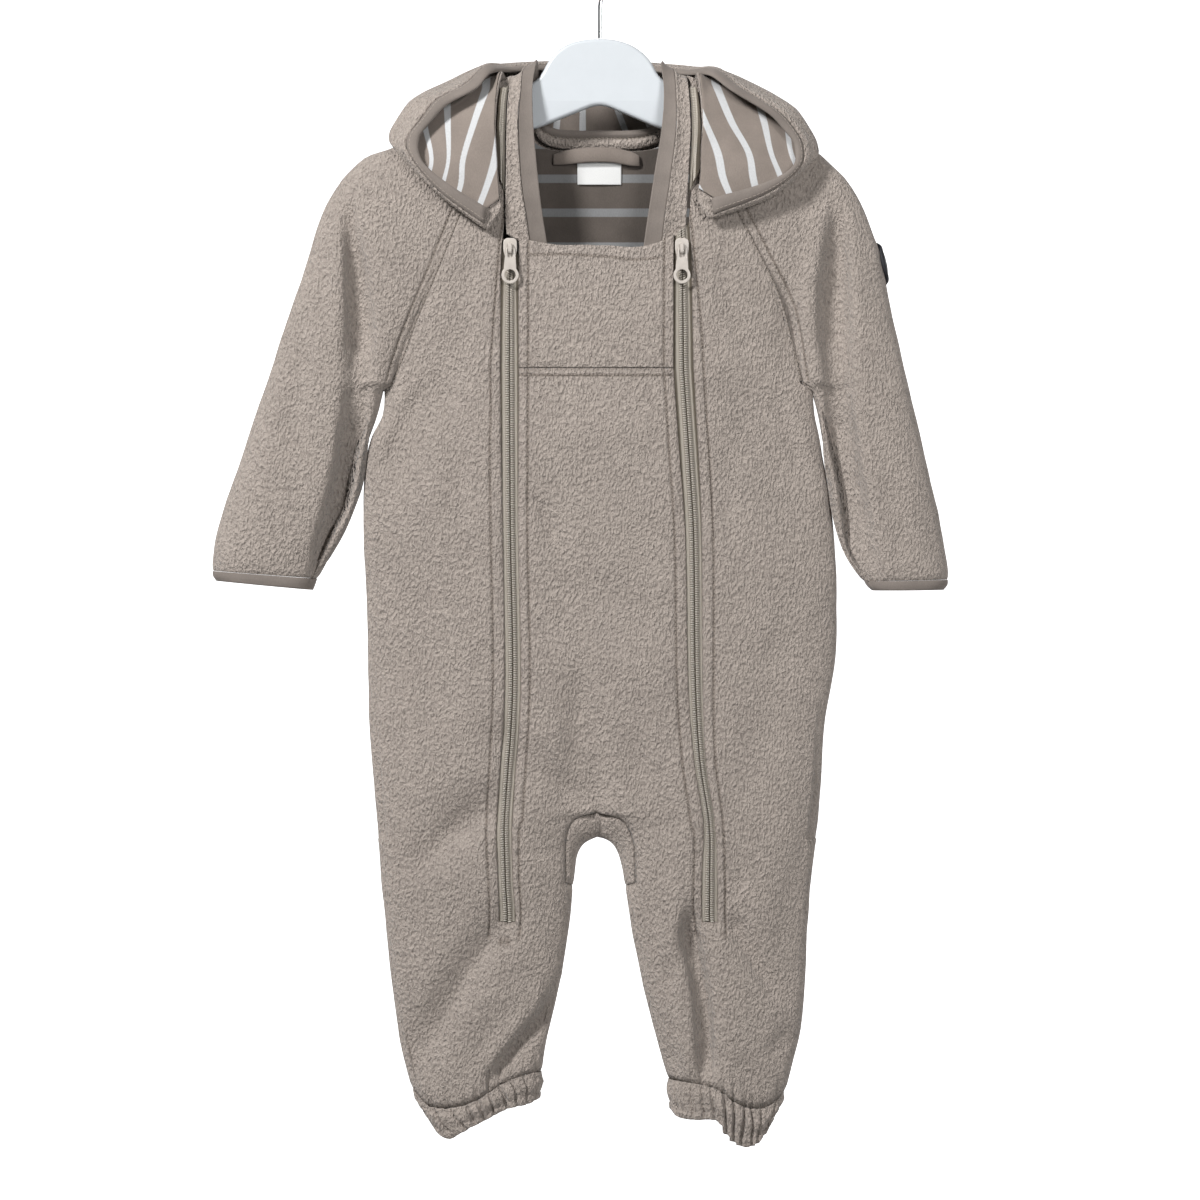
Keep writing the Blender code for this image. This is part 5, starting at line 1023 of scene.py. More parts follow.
def crease_depth(side, x, down):
    """Depth of the creases there, in millimetres, with the swell on one side of each."""
    total = 0.0
    for row_side, path, width, depth, ridge in CREASES:
        if row_side != side or not min(p[0] for p in path) - 30 < x < max(p[0] for p in path) + 30:
            continue
        best = None
        whole = sum(math.dist(a, b) for a, b in zip(path, path[1:]))
        gone = 0.0
        for a, b in zip(path, path[1:]):
            length = math.dist(a, b)
            along_it = ((x - a[0]) * (b[0] - a[0]) + (down - a[1]) * (b[1] - a[1])) / length
            held = min(max(along_it, 0.0), length)
            px, pd = mix(a[0], b[0], held / length), mix(a[1], b[1], held / length)
            away = math.hypot(x - px, down - pd)
            if best is None or away < best[0]:
                sign = -1 if (x - a[0]) * (b[1] - a[1]) - (down - a[1]) * (b[0] - a[0]) > 0 else 1
                best = (away, sign, (gone + held) / whole)
            gone += length
        away, sign, t = best
        if away > 4.2 * width:
            continue
        fade = ease(0.0, 0.22, t) * (1 - 0.85 * ease(0.75, 1.0, t)) + 0.12
        off = sign * away / width
        swell = ridge * 0.55 * math.exp(-((off - 1.9) ** 2) / 1.6)
        total += depth * min(1.0, fade) * (math.exp(-off * off) - swell)
    return total


def gather_depth(right, share, low, back=False):
    """Depth of the gathers at a leg end: low is 0 at the casing's top and 1 at the hem."""
    total = 0.0
    for middle, width, depth, slant in GATHERS[right]:
        if back:
            middle, slant = 1.02 - middle, -slant
        off = (share - middle - slant * (low - 0.5)) / width
        total += depth * (math.exp(-off * off) - 0.34 * math.exp(-((off / 2.7) ** 2)))
    return total


class Line:
    """A sewn line: its points every half millimetre and how it presses the cloth."""

    def __init__(self, path, depth=0.45, width=1.1, pitch=2.9, ridge=0.0, pucker=0.12):
        self.depth, self.width, self.pitch, self.pucker = depth, width, pitch, pucker
        self.ridge = ridge
        self.points = resampled(path, 0.8)
        self.tree = finder(self.points)

    def press(self, point):
        _, k, d = self.tree.find(point)
        if d > 9.0:
            return 0.0
        wave = math.sin(k * 0.8 * 2 * math.pi / 8.3) * math.exp(-((d / 4.5) ** 2))
        return -self.depth * math.exp(-((d / self.width) ** 2)) + self.pucker * wave

    def shade(self, point):
        """How much painted shade the nap gets beside the stitches, where they press it into a groove."""
        return math.exp(-((self.tree.find(point)[2] / 0.9) ** 2))


def resampled(path, pitch):
    """Points at an even pitch along a path."""
    out = []
    left = 0.0
    for a, b in zip(path, path[1:]):
        length = (b - a).length
        while left < length:
            out.append(a.lerp(b, left / max(length, 1e-9)))
            left += pitch
        left -= length
    return out


def soft_noise(point):
    """The slack of soft cloth, in millimetres."""
    p = Vector(point)
    return (0.75 * noise.noise(p / 46) + 0.38 * noise.noise(p / 21 + Vector((7, 1, 3)))
            + 0.16 * noise.noise(p / 9.5 + Vector((1, 9, 4))))


# ---------------------------------------------------------------- materials
def material(name, colour, roughness, metallic=0.0, sheen=0.0, specular=0.4, coat=0.0):
    mat = bpy.data.materials.new(name)
    mat.use_nodes = True
    shader = mat.node_tree.nodes["Principled BSDF"]
    shader.inputs["Base Color"].default_value = (*colour, 1)
    shader.inputs["Roughness"].default_value = roughness
    shader.inputs["Metallic"].default_value = metallic
    shader.inputs["Sheen Weight"].default_value = sheen
    shader.inputs["Sheen Roughness"].default_value = 0.45
    shader.inputs["Specular IOR Level"].default_value = specular
    shader.inputs["Coat Weight"].default_value = coat
    return mat, shader


class Nodes:
    """Short names for a material's nodes."""

    def __init__(self, mat, shader):
        self.tree, self.shader = mat.node_tree, shader

    def node(self, kind, **settings):
        node = self.tree.nodes.new(kind)
        for key, value in settings.items():
            setattr(node, key, value)
        return node

    def link(self, a, b):
        self.tree.links.new(a, b)

    def place(self, scale=(1, 1, 1)):
        where = self.node("ShaderNodeTexCoord").outputs["Object"]
        mapping = self.node("ShaderNodeMapping")
        mapping.inputs["Scale"].default_value = scale
        self.link(where, mapping.inputs["Vector"])
        return mapping.outputs["Vector"]

    def noise(self, where, scale, detail=2.0, roughness=0.5):
        node = self.node("ShaderNodeTexNoise")
        node.inputs["Scale"].default_value = scale
        node.inputs["Detail"].default_value = detail
        node.inputs["Roughness"].default_value = roughness
        self.link(where, node.inputs["Vector"])
        return node.outputs["Fac"]

    def math(self, operation, a, b=None, clamp=False):
        node = self.node("ShaderNodeMath", operation=operation, use_clamp=clamp)
        for socket, value in zip(node.inputs, (a, b)):
            if value is None:
                continue
            if isinstance(value, (int, float)):
                socket.default_value = value
            else:
                self.link(value, socket)
        return node.outputs[0]

    def ramp(self, value, stops):
        node = self.node("ShaderNodeValToRGB")
        while len(node.color_ramp.elements) < len(stops):
            node.color_ramp.elements.new(0.5)
        for element, (place, colour) in zip(node.color_ramp.elements, stops):
            element.position = place
            element.color = (*colour, 1)
        self.link(value, node.inputs["Fac"])
        return node.outputs["Color"]

    def mix(self, share, a, b, blend="MIX"):
        node = self.node("ShaderNodeMix", data_type="RGBA", blend_type=blend)
        for socket, value in ((node.inputs[0], share), (node.inputs[6], a), (node.inputs[7], b)):
            if isinstance(value, (int, float)):
                socket.default_value = value
            elif isinstance(value, tuple):
                socket.default_value = (*value, 1)
            else:
                self.link(value, socket)
        return node.outputs[2]

    def bump(self, height, distance, strength=1.0):
        node = self.node("ShaderNodeBump")
        node.inputs["Distance"].default_value = distance
        node.inputs["Strength"].default_value = strength
        self.link(height, node.inputs["Height"])
        return node.outputs["Normal"]


def tint(colour, factor):
    return tuple(min(c * factor, 1.0) for c in colour)


FLEECE_COLOUR = (0.372, 0.322, 0.286)
LINING_COLOUR = (0.240, 0.203, 0.177)
BINDING_COLOUR = (0.205, 0.177, 0.157)
TAPE_COLOUR = (0.41, 0.37, 0.315)
METAL_COLOUR = (0.50, 0.455, 0.41)


def fleece_material():
    """Short pebbly nap with soft clouds in its colour, and painted shade along the stitches and the rolled-in
    seam edges.
    """
    mat, shader = material("fleece", FLEECE_COLOUR, 0.96, sheen=0.18, specular=0.10)
    n = Nodes(mat, shader)
    where = n.place((1, 1, 0.58))
    pebble = n.noise(where, 620, 1.6, 0.5)
    fine = n.noise(where, 1500, 2.0, 0.6)
    cloud = n.noise(n.place(), 26, 3.0, 0.55)
    patch = n.noise(n.place(), 110, 2.0, 0.5)
    height = n.math("ADD", pebble, n.math("MULTIPLY", fine, 0.22))
    # Darker in the pits of the pebbles and lighter on their tops, from the same noise as the bump: painted
    # shade and light of the nap.
    shade = n.ramp(pebble, [(0.28, tint(FLEECE_COLOUR, 0.80)), (0.50, FLEECE_COLOUR),
                            (0.74, tint(FLEECE_COLOUR, 1.14))])
    wide = n.ramp(n.math("ADD", n.math("MULTIPLY", cloud, 0.6), n.math("MULTIPLY", patch, 0.4)),
                  [(0.35, (0.94, 0.94, 0.94)), (0.65, (1.05, 1.05, 1.05))])
    # Darker along the stitches and the seams' rolled edges: painted shade.
    pressed = n.node("ShaderNodeAttribute", attribute_name="painted_seam_shade").outputs["Fac"]
    dark = n.ramp(pressed, [(0.05, (1.0, 1.0, 1.0)), (0.9, (0.52, 0.50, 0.48))])
    base = n.mix(1.0, n.mix(1.0, shade, wide, "MULTIPLY"), dark, "MULTIPLY")
    n.link(base, shader.inputs["Base Color"])
    n.link(n.bump(height, 0.0036, 1.0), shader.inputs["Normal"])
    return mat


def knit_material(name, colour, white=None):
    """Fine smooth jersey; white stripes, if any, lie where the stripe attribute is near a whole number."""
    mat, shader = material(name, colour, 0.88, sheen=0.12, specular=0.15)
    n = Nodes(mat, shader)
    where = n.place()
    rib = n.noise(n.place((1.6, 1.6, 0.5)), 1500, 2.0, 0.5)
    cloud = n.noise(where, 60, 2.0, 0.5)
    shade = n.ramp(n.math("ADD", n.math("MULTIPLY", rib, 0.5), n.math("MULTIPLY", cloud, 0.5)),
                   [(0.36, tint(colour, 0.88)), (0.64, tint(colour, 1.10))])
    if white:
        place = n.node("ShaderNodeAttribute", attribute_name="stripe").outputs["Fac"]
        away = n.math("ABSOLUTE", n.math("SUBTRACT", n.math("FRACT", n.math("ADD", place, 0.5)), 0.5))
        edge = n.math("MULTIPLY", n.math("SUBTRACT", STRIPE_SHARE / 2, away), 40.0, clamp=True)
        pale = n.ramp(rib, [(0.3, tint((0.50, 0.505, 0.51), white)), (0.7, tint((0.59, 0.595, 0.60), white))])
        shade = n.mix(edge, shade, pale)
    n.link(shade, shader.inputs["Base Color"])
    n.link(n.bump(rib, 0.0004, 0.5), shader.inputs["Normal"])
    return mat


def tape_material():
    """Woven zip tape with ribs along its length, with painted shade at the slit's edges and down the gap
    between the coil rows.
    """
    mat, shader = material("zip_tape", TAPE_COLOUR, 0.8, sheen=0.05, specular=0.25)
    n = Nodes(mat, shader)
    place = n.node("ShaderNodeAttribute", attribute_name="across").outputs["Fac"]
    rib = n.math("ABSOLUTE", n.math("SINE", n.math("MULTIPLY", place, 4.4)))
    weave = n.noise(n.place((0.4, 0.4, 1.6)), 1800, 1.0)
    both = n.math("ADD", n.math("MULTIPLY", rib, 0.7), n.math("MULTIPLY", weave, 0.5))
    out = n.math("ABSOLUTE", place)
    shade = n.ramp(both, [(0.15, tint(TAPE_COLOUR, 0.70)), (0.85, tint(TAPE_COLOUR, 1.08))])
    # Near black down the middle and beyond the coil: painted shade between the coil rows and under the fleece's
    # edges.
    edge = n.ramp(n.math("DIVIDE", out, 8.0),
                  [(0.035, (0.22, 0.2, 0.18)), (0.075, (0.5, 0.5, 0.5)), (0.37, (0.62, 0.61, 0.6)),
                   (0.42, (1, 1, 1)), (0.58, (1, 1, 1)), (0.70, (0.3, 0.28, 0.25))])
    n.link(n.mix(1.0, shade, edge, "MULTIPLY"), shader.inputs["Base Color"])
    n.link(n.bump(both, 0.0005, 0.8), shader.inputs["Normal"])
    return mat


def plain_material(name, colour, roughness, metallic=0.0, specular=0.4, coat=0.0, scale=400, change=0.06,
                   bump=0.00005):
    """A smooth material with a faint change of tone and surface."""
    mat, shader = material(name, colour, roughness, metallic, specular=specular, coat=coat)
    n = Nodes(mat, shader)
    tone = n.noise(n.place(), scale, 3.0, 0.5)
    n.link(n.ramp(tone, [(0.3, tint(colour, 1 - change)), (0.7, tint(colour, 1 + change))]),
           shader.inputs["Base Color"])
    n.link(n.bump(tone, bump, 0.5), shader.inputs["Normal"])
    return mat


STRIPE_PITCH = 23.8       # of the back lining
STRIPE_SHARE = 0.27       # white share of the pitch
# Smooth materials: name, colour, roughness and what else they need.
PLAIN = {
    "coil": ("zip_coil", (0.50, 0.46, 0.40), 0.5, dict(scale=900, change=0.1)),
    "thread": ("thread", (0.33, 0.285, 0.245), 0.7, dict(scale=2500, change=0.15)),
    # Nearly black dots at the needle holes: painted shade.
    "holes": ("painted_needle_hole_shade", (0.09, 0.075, 0.062), 0.95, dict(scale=2500)),
    "lacquer": ("lacquered_metal", METAL_COLOUR, 0.38, dict(specular=0.5, coat=0.15)),
    "plastic": ("satin_plastic", (0.575, 0.605, 0.63), 0.32, dict(specular=0.5, change=0.01, scale=120)),
    "chrome": ("chrome", (0.82, 0.83, 0.84), 0.1, dict(metallic=1.0, change=0.02, scale=200, bump=0.00001)),
    "label": ("blank_label", (0.70, 0.70, 0.69), 0.7, dict(scale=1800, change=0.04, bump=0.0002)),
    "badge": ("plain_badge", (0.016, 0.016, 0.02), 0.6, dict(scale=1500, change=0.25, bump=0.0003))}
MATERIALS = {}


def make_materials():
    MATERIALS["fleece"] = fleece_material()
    MATERIALS["binding"] = knit_material("smooth_jersey", BINDING_COLOUR)
    MATERIALS["striped"] = knit_material("striped_jersey", LINING_COLOUR, white=1.0)
    # The same striped jersey made darker, stripes too: painted shade inside the neck.
    MATERIALS["shaded_striped"] = knit_material("striped_jersey_painted_shade", tint(LINING_COLOUR, 0.42), white=0.38)
    MATERIALS["loop"] = knit_material("loop_jersey", tint(LINING_COLOUR, 0.9))
    MATERIALS["tape"] = tape_material()
    for key, (name, colour, roughness, more) in PLAIN.items():
        MATERIALS[key] = plain_material(name, colour, roughness, **more)


def dress(obj, kind):
    obj.data.materials.clear()
    obj.data.materials.append(MATERIALS[kind])
    return obj


# ---------------------------------------------------------------- sewing
def capsule(a, b, radius, up, sides=5):
    """Points and faces of a short rounded thread between two points."""
    run = (b - a).normalized()
    side = run.cross(up)
    if side.length < 1e-6:
        side = run.orthogonal()
    side.normalize()
    over = side.cross(run)
    points, faces = [a - run * radius * 0.5], []
    for share, size in ((0.06, 0.75), (0.5, 1.0), (0.94, 0.75)):
        centre = a.lerp(b, share)
        for k in range(sides):
            angle = 2 * math.pi * k / sides
            points.append(centre + (side * math.cos(angle) + over * math.sin(angle)) * radius * size)
    points.append(b + run * radius * 0.5)
    last = len(points) - 1
    for k in range(sides):
        n = (k + 1) % sides
        faces.append((0, 1 + n, 1 + k))
        for ring in range(2):
            i = 1 + ring * sides
            faces.append((i + k, i + n, i + sides + n, i + sides + k))
        i = 1 + 2 * sides
        faces.append((i + k, i + n, last))
    return points, faces


class Pile:
    """Many threads or coil turns as one mesh."""

    def __init__(self):
        self.points, self.faces = [], []

    def add(self, a, b, radius, up, sides=5):
        points, faces = capsule(a, b, radius, up, sides)
        start = len(self.points)
        self.points += points
        self.faces += [tuple(k + start for k in face) for face in faces]

    def build(self, name, kind, slot=None):
        if self.faces:
            dress(new_mesh(name, self.points, self.faces), kind)


class Sewing:
    """The stitches of one piece of sewing: its threads, and dark dots of painted shade at its needle holes."""

    def __init__(self, name):
        self.name, self.threads, self.holes = name, Pile(), Pile()

    def row(self, tree, path, pitch=2.9, share=0.66, radius=0.3, sink=0.1, holes=True):
        """Stitches along a path, laid on the cloth."""
        points = resampled(path, pitch)
        for a, b in zip(points, points[1:]):
            run = (b - a).normalized()
            first = tree.find_nearest(a + run * pitch * (1 - share) / 2)
            last = tree.find_nearest(b - run * pitch * (1 - share) / 2)
            if first[0] is None or last[0] is None:
                continue
            up = first[1]
            start, end = first[0] - first[1] * sink, last[0] - last[1] * sink
            middle = (start + end) / 2 + up * 0.1
            self.threads.add(start, middle + (middle - start) * 0.02, radius, up)
            self.threads.add(middle, end, radius, up)
            # A dark dot sunk into the cloth at each stitch: painted shade of the needle hole.
            if holes:
                place, normal = tree.find_nearest(a)[:2]
                centre = place - normal * 0.12
                self.holes.add(centre - run * 0.2, centre + run * 0.2, 0.36, normal)

    def build(self):
        self.threads.build(self.name, "thread")
        self.holes.build(self.name + "_painted_needle_hole_shade", "holes")


# ---------------------------------------------------------------- lines sewn on the garment
def cast_path(tree, path, pitch=3.0):
    """Points on the front of the garment under a path of x and down."""
    out = []
    for p in resampled([Vector((x, 0, -HANGER_DROP - d)) for x, d in path], pitch):
        hit = tree.ray_cast(Vector((p.x, -80, p.z)), Vector((0, 1, 0)))[0]
        if hit:
            out.append(hit)
    return out


def sewn_lines(surface, tracks):
    """Every line of stitches on the body panels, as a Line under its name."""
    base = BVHTree.FromPolygons(surface.points, surface.quads)
    points = surface.points
    lines = {}
    for name, column in (("left_outer", 3.63), ("left_inner", 5.37), ("right_inner", 10.63),
                         ("right_outer", 12.37)):
        lines["zip_" + name] = Line([points[k] for k in tracks[column]], depth=0.9, width=0.85, pucker=0.32)
    ends = {c: points[tracks[c][-1]] for c in (3.63, 5.37, 10.63, 12.37)}
    for name, a, b, sag in (("left_end", 3.63, 5.37, -6), ("right_end", 10.63, 12.37, -3)):
        middle = (ends[a] + ends[b]) / 2 + Vector((0, 0, sag))
        path = [(p.x, -HANGER_DROP - p.z) for p in (ends[a], middle, ends[b])]
        lines["zip_" + name] = Line(cast_path(base, path), depth=0.7, width=0.85)
    lines["yoke"] = Line(cast_path(base, [(-56.5, 236.3), (-20, 236.5), (20, 236.5), (51, 236.3)], 1.5),
                         depth=1.0, width=0.8, pucker=0.3)
    lines["tongue"] = Line(cast_path(base, [(-49.5, 152.6), (-25, 152.2), (0, 153.5), (25, 156.2), (43, 154.5)],
                                     1.5), depth=0.35, width=1.0, pucker=0.3)
    for right in (False, True):
        side = "right" if right else "left"
        column = 16 if right else 0
        for back in (False, True):
            upper = upper_back if back else upper_front
            shares = np.linspace(0.02, 0.995, 60)
            seam = [world(*upper(column, t)) for t in shares]
            beyond = [world(*upper_sleeve(right, 0.5, t, back)) for t in shares]
            apart = [p + (q - p).normalized() * RAGLAN_TWIN for p, q in zip(seam, beyond)]
            inside = [p - (q - p).normalized() * 0.8 for p, q in zip(seam, beyond)]
            name = "raglan_" + side + ("_back" if back else "_front")
            lines[name + "_inner"] = Line(inside, depth=0.9, width=0.9, pucker=0.1)
            lines[name + "_outer"] = Line(apart, depth=0.9, width=0.9, pucker=0.1)
    return lines


RAGLAN_TWIN = 5.6         # from the raglan seam to the outer row of its twin stitching


def crease_shape(point, normal_y):
    """Small folds of the panels: front and back have their own."""
    side = "front" if normal_y < 0 else "back"
    down = -HANGER_DROP - point.z
    out = -crease_depth(side, point.x, down) * min(1.0, abs(normal_y) * 1.6)
    if side == "front" and 112 < down < 384:
        right = point.x > 0
        middle, half, deep = smooth_row(SLEEVE_HOLLOW[right], down)
        off = (point.x - middle) * (1 if right else -1) / half
        room = max(0.0, 2.0 - point.y) * 0.55
        out -= min(0.85 * deep * math.exp(-((off - 0.1) ** 4)), room)
        out += min(0.22 * deep * math.exp(-((off - 1.75) ** 2) / 0.5), 2.0) * min(1.0, abs(normal_y) * 1.5)
    return out


# ---------------------------------------------------------------- panels
PANELS = {"front": (FLEECE, 1.0), "front_yoke": (FLEECE, 0.4), "back": (FLEECE, 1.0), "gusset": (FLEECE, 0.5),
          "sleeve_left": (FLEECE, 1.0), "sleeve_right": (FLEECE, 1.0),
          "sleeve_binding_left": (BINDING, 0.5), "sleeve_binding_right": (BINDING, 0.5)}


def gathers_above(point):
    """The gathers of the casings, dying out up the legs."""
    right = point.x > 0
    row = smooth_row(LEG[right], LEG_ROWS)
    share = min(max((point.x - row[1]) / (row[5] - row[1]), 0.0), 1.0)
    top = mix(row[0], row[4], share) + smooth_row(CUFF[right], share)[0]
    above = top + HANGER_DROP + point.z
    if above > GATHER_REACH * 1.5:
        return 0.0
    fade = math.exp(-((max(above, 0.0) / GATHER_REACH * 1.6) ** 2))
    return gather_depth(right, share, 0.0, point.y > 0) * 0.75 * fade


def build_panels(surface, tracks):
    normals = surface.normals()
    lines = sewn_lines(surface, tracks)
    sewn = list(lines.values())

    def shape(point, key):
        out = soft_noise(point) + crease_shape(point, normals[key].y) - gathers_above(point)
        for line in sewn:
            out += line.press(point)
        return out

    # Painted shade along the stitch lines.
    def painted_seam_shade(point):
        return max((line.shade(point) for line in sewn), default=0.0)

    def smooth_shape(point, key):
        return 0.5 * soft_noise(point)

    objs = {}
    for name, (thickness, roll) in PANELS.items():
        faces = [q for q, label in zip(surface.quads, surface.labels) if label == name]
        binding = "binding" in name
        objs[name] = cloth(name + "_cloth", surface.points, normals, faces, thickness, [name], roll=roll,
                           shape=smooth_shape if binding else shape, painted_seam_shade=None if binding else painted_seam_shade)[0]
        dress(objs[name], "binding" if binding else "fleece")
    return normals, objs, lines


def build_leg_cuffs(surface, ends):
    """The gathered casings: a finer ring with the creases of the photograph."""
    rows = 16
    for name in ("left", "right"):
        right = name == "right"
        outer_down, outer_x, inner_down, inner_x = HEM[right]
        table = CUFF[right]
        ring = ends["leg_" + name]
        top = []
        for a, b in zip(ring, ring[1:] + ring[:1]):
            top += [surface.points[a].lerp(surface.points[b], k / 4) for k in range(4)]
        last_row = smooth_row(LEG[right], LEG_ROWS)
        first_outer, first_inner = last_row[1], last_row[5]
        points = []
        for row in range(rows + 1):
            t = row / rows
            for point in top:
                share = (point.x - first_outer) / (first_inner - first_outer)
                x = mix(outer_x, inner_x, share)
                held = min(max(share, 0.0), 1.0)
                down = mix(outer_down, inner_down, held) + smooth_row(table, held)[1]
                hem = Vector((x, point.y * 0.88, -HANGER_DROP - down))
                place = point.lerp(hem, t)
                swell = math.sin(math.pi * min(1.0, t * 1.3)) if t < 0.77 else 0.6
                back = point.y > 0
                fold = gather_depth(right, held, t, back)
                side_room = min(1.0, 9 * min(held, 1 - held) + 0.15)
                grow = 0.62 + 0.38 * ease(0.0, 0.35, t) - 0.3 * ease(0.8, 1.0, t)
                small = 0.7 * noise.noise(place / 5.0) + 0.3 * noise.noise(place / 2.4)
                outward = Vector((point.x - (first_outer + first_inner) / 2, point.y * 2.2, 0)).normalized()
                out = 1.7 * swell * min(1.0, 3 * t) - fold * grow * side_room + small * grow
                points.append(place + outward * out)
        columns = len(top)
        faces = grid_faces(rows + 1, columns, closed=True)
        normals = grid_normals(points, faces)
        obj = cloth("leg_cuff_" + name + "_cloth", points, normals, faces, FLEECE, ["leg_cuff_" + name],
                    inset=0.3, roll=0.35)[0]
        dress(obj, "fleece")


# ---------------------------------------------------------------- collar and hood
def build_collar():
    fine = 5
    points, columns = collar_grid(fine)
    faces = grid_faces(len(points) // columns, columns)
    normals = grid_normals(points, faces)
    middle = COLLAR_FACES * fine
    fleece = [face for face in faces if max(k % columns for k in face) <= middle]
    binding = [face for face in faces if min(k % columns for k in face) >= middle]

    def shape(point, key):
        across = (key % columns) / (columns - 1)
        edge = -0.5 * math.exp(-(((across - 0.44) / 0.03) ** 2))
        return 0.6 * soft_noise(point) + edge + 0.5 * math.sin(math.pi * min(across * 2, 1.0))

    def rolled(point, key):
        across = (key % columns) / (columns - 1)
        return 0.35 * soft_noise(point) + 0.35 * math.sin(math.pi * (across - 0.5) * 2)

    cloth_obj = cloth("collar_cloth", points, normals, fleece, FLEECE, ["collar"], lift=FLEECE / 2,
                      shape=shape)[0]
    dress(cloth_obj, "fleece")
    bound = cloth("collar_binding_cloth", points, normals, binding, BINDING, ["collar_binding"],
                  lift=BINDING / 2, roll=0.6, shape=rolled)[0]
    dress(bound, "binding")
    tree = tree_of(cloth_obj, bound)
    rows = len(points) // columns
    sew = Sewing("collar_stitches")
    for place in (middle - 1, middle + 1):
        path = [points[r * columns + place].lerp(points[r * columns + middle], 0.35) for r in range(rows)]
        sew.row(tree, path, pitch=3.0)
    sew.build()


def hood_grid(sections, fine):
    points = []
    for k in range(sections + 1):
        points += hood_section(k * 16 / sections, fine)
    return points, (HOOD_PROFILE + RIM_CURL + BINDING_FACES) * fine + 1


def stripe_place(point):
    """Stripe number of a place in the hood's lining, from the front view."""
    x, down = point.x, -HANGER_DROP - point.z
    table = HOOD_STRIPES["left" if x < 0 else "right"]
    numbers = STRIPE_NUMBERS["left" if x < 0 else "right"]
    return straight(sorted(zip(smooth_row(table, down), numbers)), x)


def straight(rows, key):
    """Value at a key on straight lines through rows, carried on beyond both ends."""
    i = 0
    while i < len(rows) - 2 and key > rows[i + 1][0]:
        i += 1
    (a, va), (b, vb) = rows[i], rows[i + 1]
    return va + (vb - va) * (key - a) / max(b - a, 1e-6)


# Stripes of the hood's lining in the front view: down, then x of each stripe from the outside in.
HOOD_STRIPES = {"left": [(36, -125, -108, -78.7, -62), (62, -122, -106, -88, -69), (87, -117, -105, -96, -72.8),
                         (104, -121, -109, -97, -78), (120, -124, -112, -102, -84)],
                "right": [(32, 61.6, 80, 108, 124), (60, 72.8, 91, 115, 130), (82, 81.6, 103.6, 119, 133),
                          (100, 85.4, 106.4, 126, 140), (116, 92, 110, 129, 143)]}
STRIPE_NUMBERS = {"left": (3, 2, 1, 0), "right": (0, 1, 2, 3)}


def add_values(obj, name, values):
    layer = obj.data.attributes.new(name, "FLOAT", "POINT")
    layer.data.foreach_set("value", values)


def build_hood():
    fine = 4
    sections = 150
    points, columns = hood_grid(sections, fine)
    faces = [tuple(reversed(face)) for face in grid_faces(sections + 1, columns)]
    normals = grid_normals(points, faces)
    bound = (HOOD_PROFILE + RIM_CURL) * fine
    shell = [face for face in faces if max(k % columns for k in face) <= bound]
    binding = [face for face in faces if min(k % columns for k in face) >= bound]

    def shape(point, key):
        column = (key % columns) / fine
        groove = -0.7 * math.exp(-(((column - (HOOD_PROFILE + RIM_CURL) + 0.95) / 0.28) ** 2))
        inside = 0.25 if column < HOOD_PROFILE - 1 else 1.0
        return 0.8 * soft_noise(point) * inside + groove

    def rolled(point, key):
        column = (key % columns) / fine - HOOD_PROFILE - RIM_CURL
        return 0.4 * soft_noise(point) + 0.55 * math.sin(math.pi * min(max(column / BINDING_FACES, 0), 1))

    shell_obj = cloth("hood_cloth", points, normals, shell, FLEECE, ["hood"], shape=shape)[0]
    dress(shell_obj, "fleece")
    bound_obj = cloth("hood_binding_cloth", points, normals, binding, BINDING, ["hood_binding"], roll=0.7,
                      shape=rolled)[0]
    dress(bound_obj, "binding")
    first, last = int(0.35 / 16 * sections), int(15.65 / 16 * sections)
    stop = (HOOD_PROFILE - 0.25) * fine
    lining = [face for face in faces if max(k % columns for k in face) <= stop
              and first <= min(face) // columns and max(face) // columns <= last]

    def slack(point, key):
        return 0.45 * noise.noise(point / 17) - 0.2

    obj = cloth("hood_lining_cloth", points, normals, lining, LINING_CLOTH,
                ["hood_lining_left", "hood_lining_right", "hood_lining_back"],
                lift=-FLEECE - LINING_CLOTH, inset=1.0, roll=0.2, shape=slack)[0]
    dress(obj, "striped")
    add_values(obj, "stripe", [stripe_place(v.co / MM) for v in obj.data.vertices])
    tree = tree_of(shell_obj, bound_obj)
    sew = Sewing("hood_stitches")
    row_count = sections + 1
    for column in (bound - 1.1 * fine, bound + 0.25 * fine):
        low = int(column)
        path = [points[r * columns + low].lerp(points[r * columns + low + 1], column - low)
                for r in range(row_count)]
        sew.row(tree, path, pitch=3.0, holes=column < bound)
    sew.build()


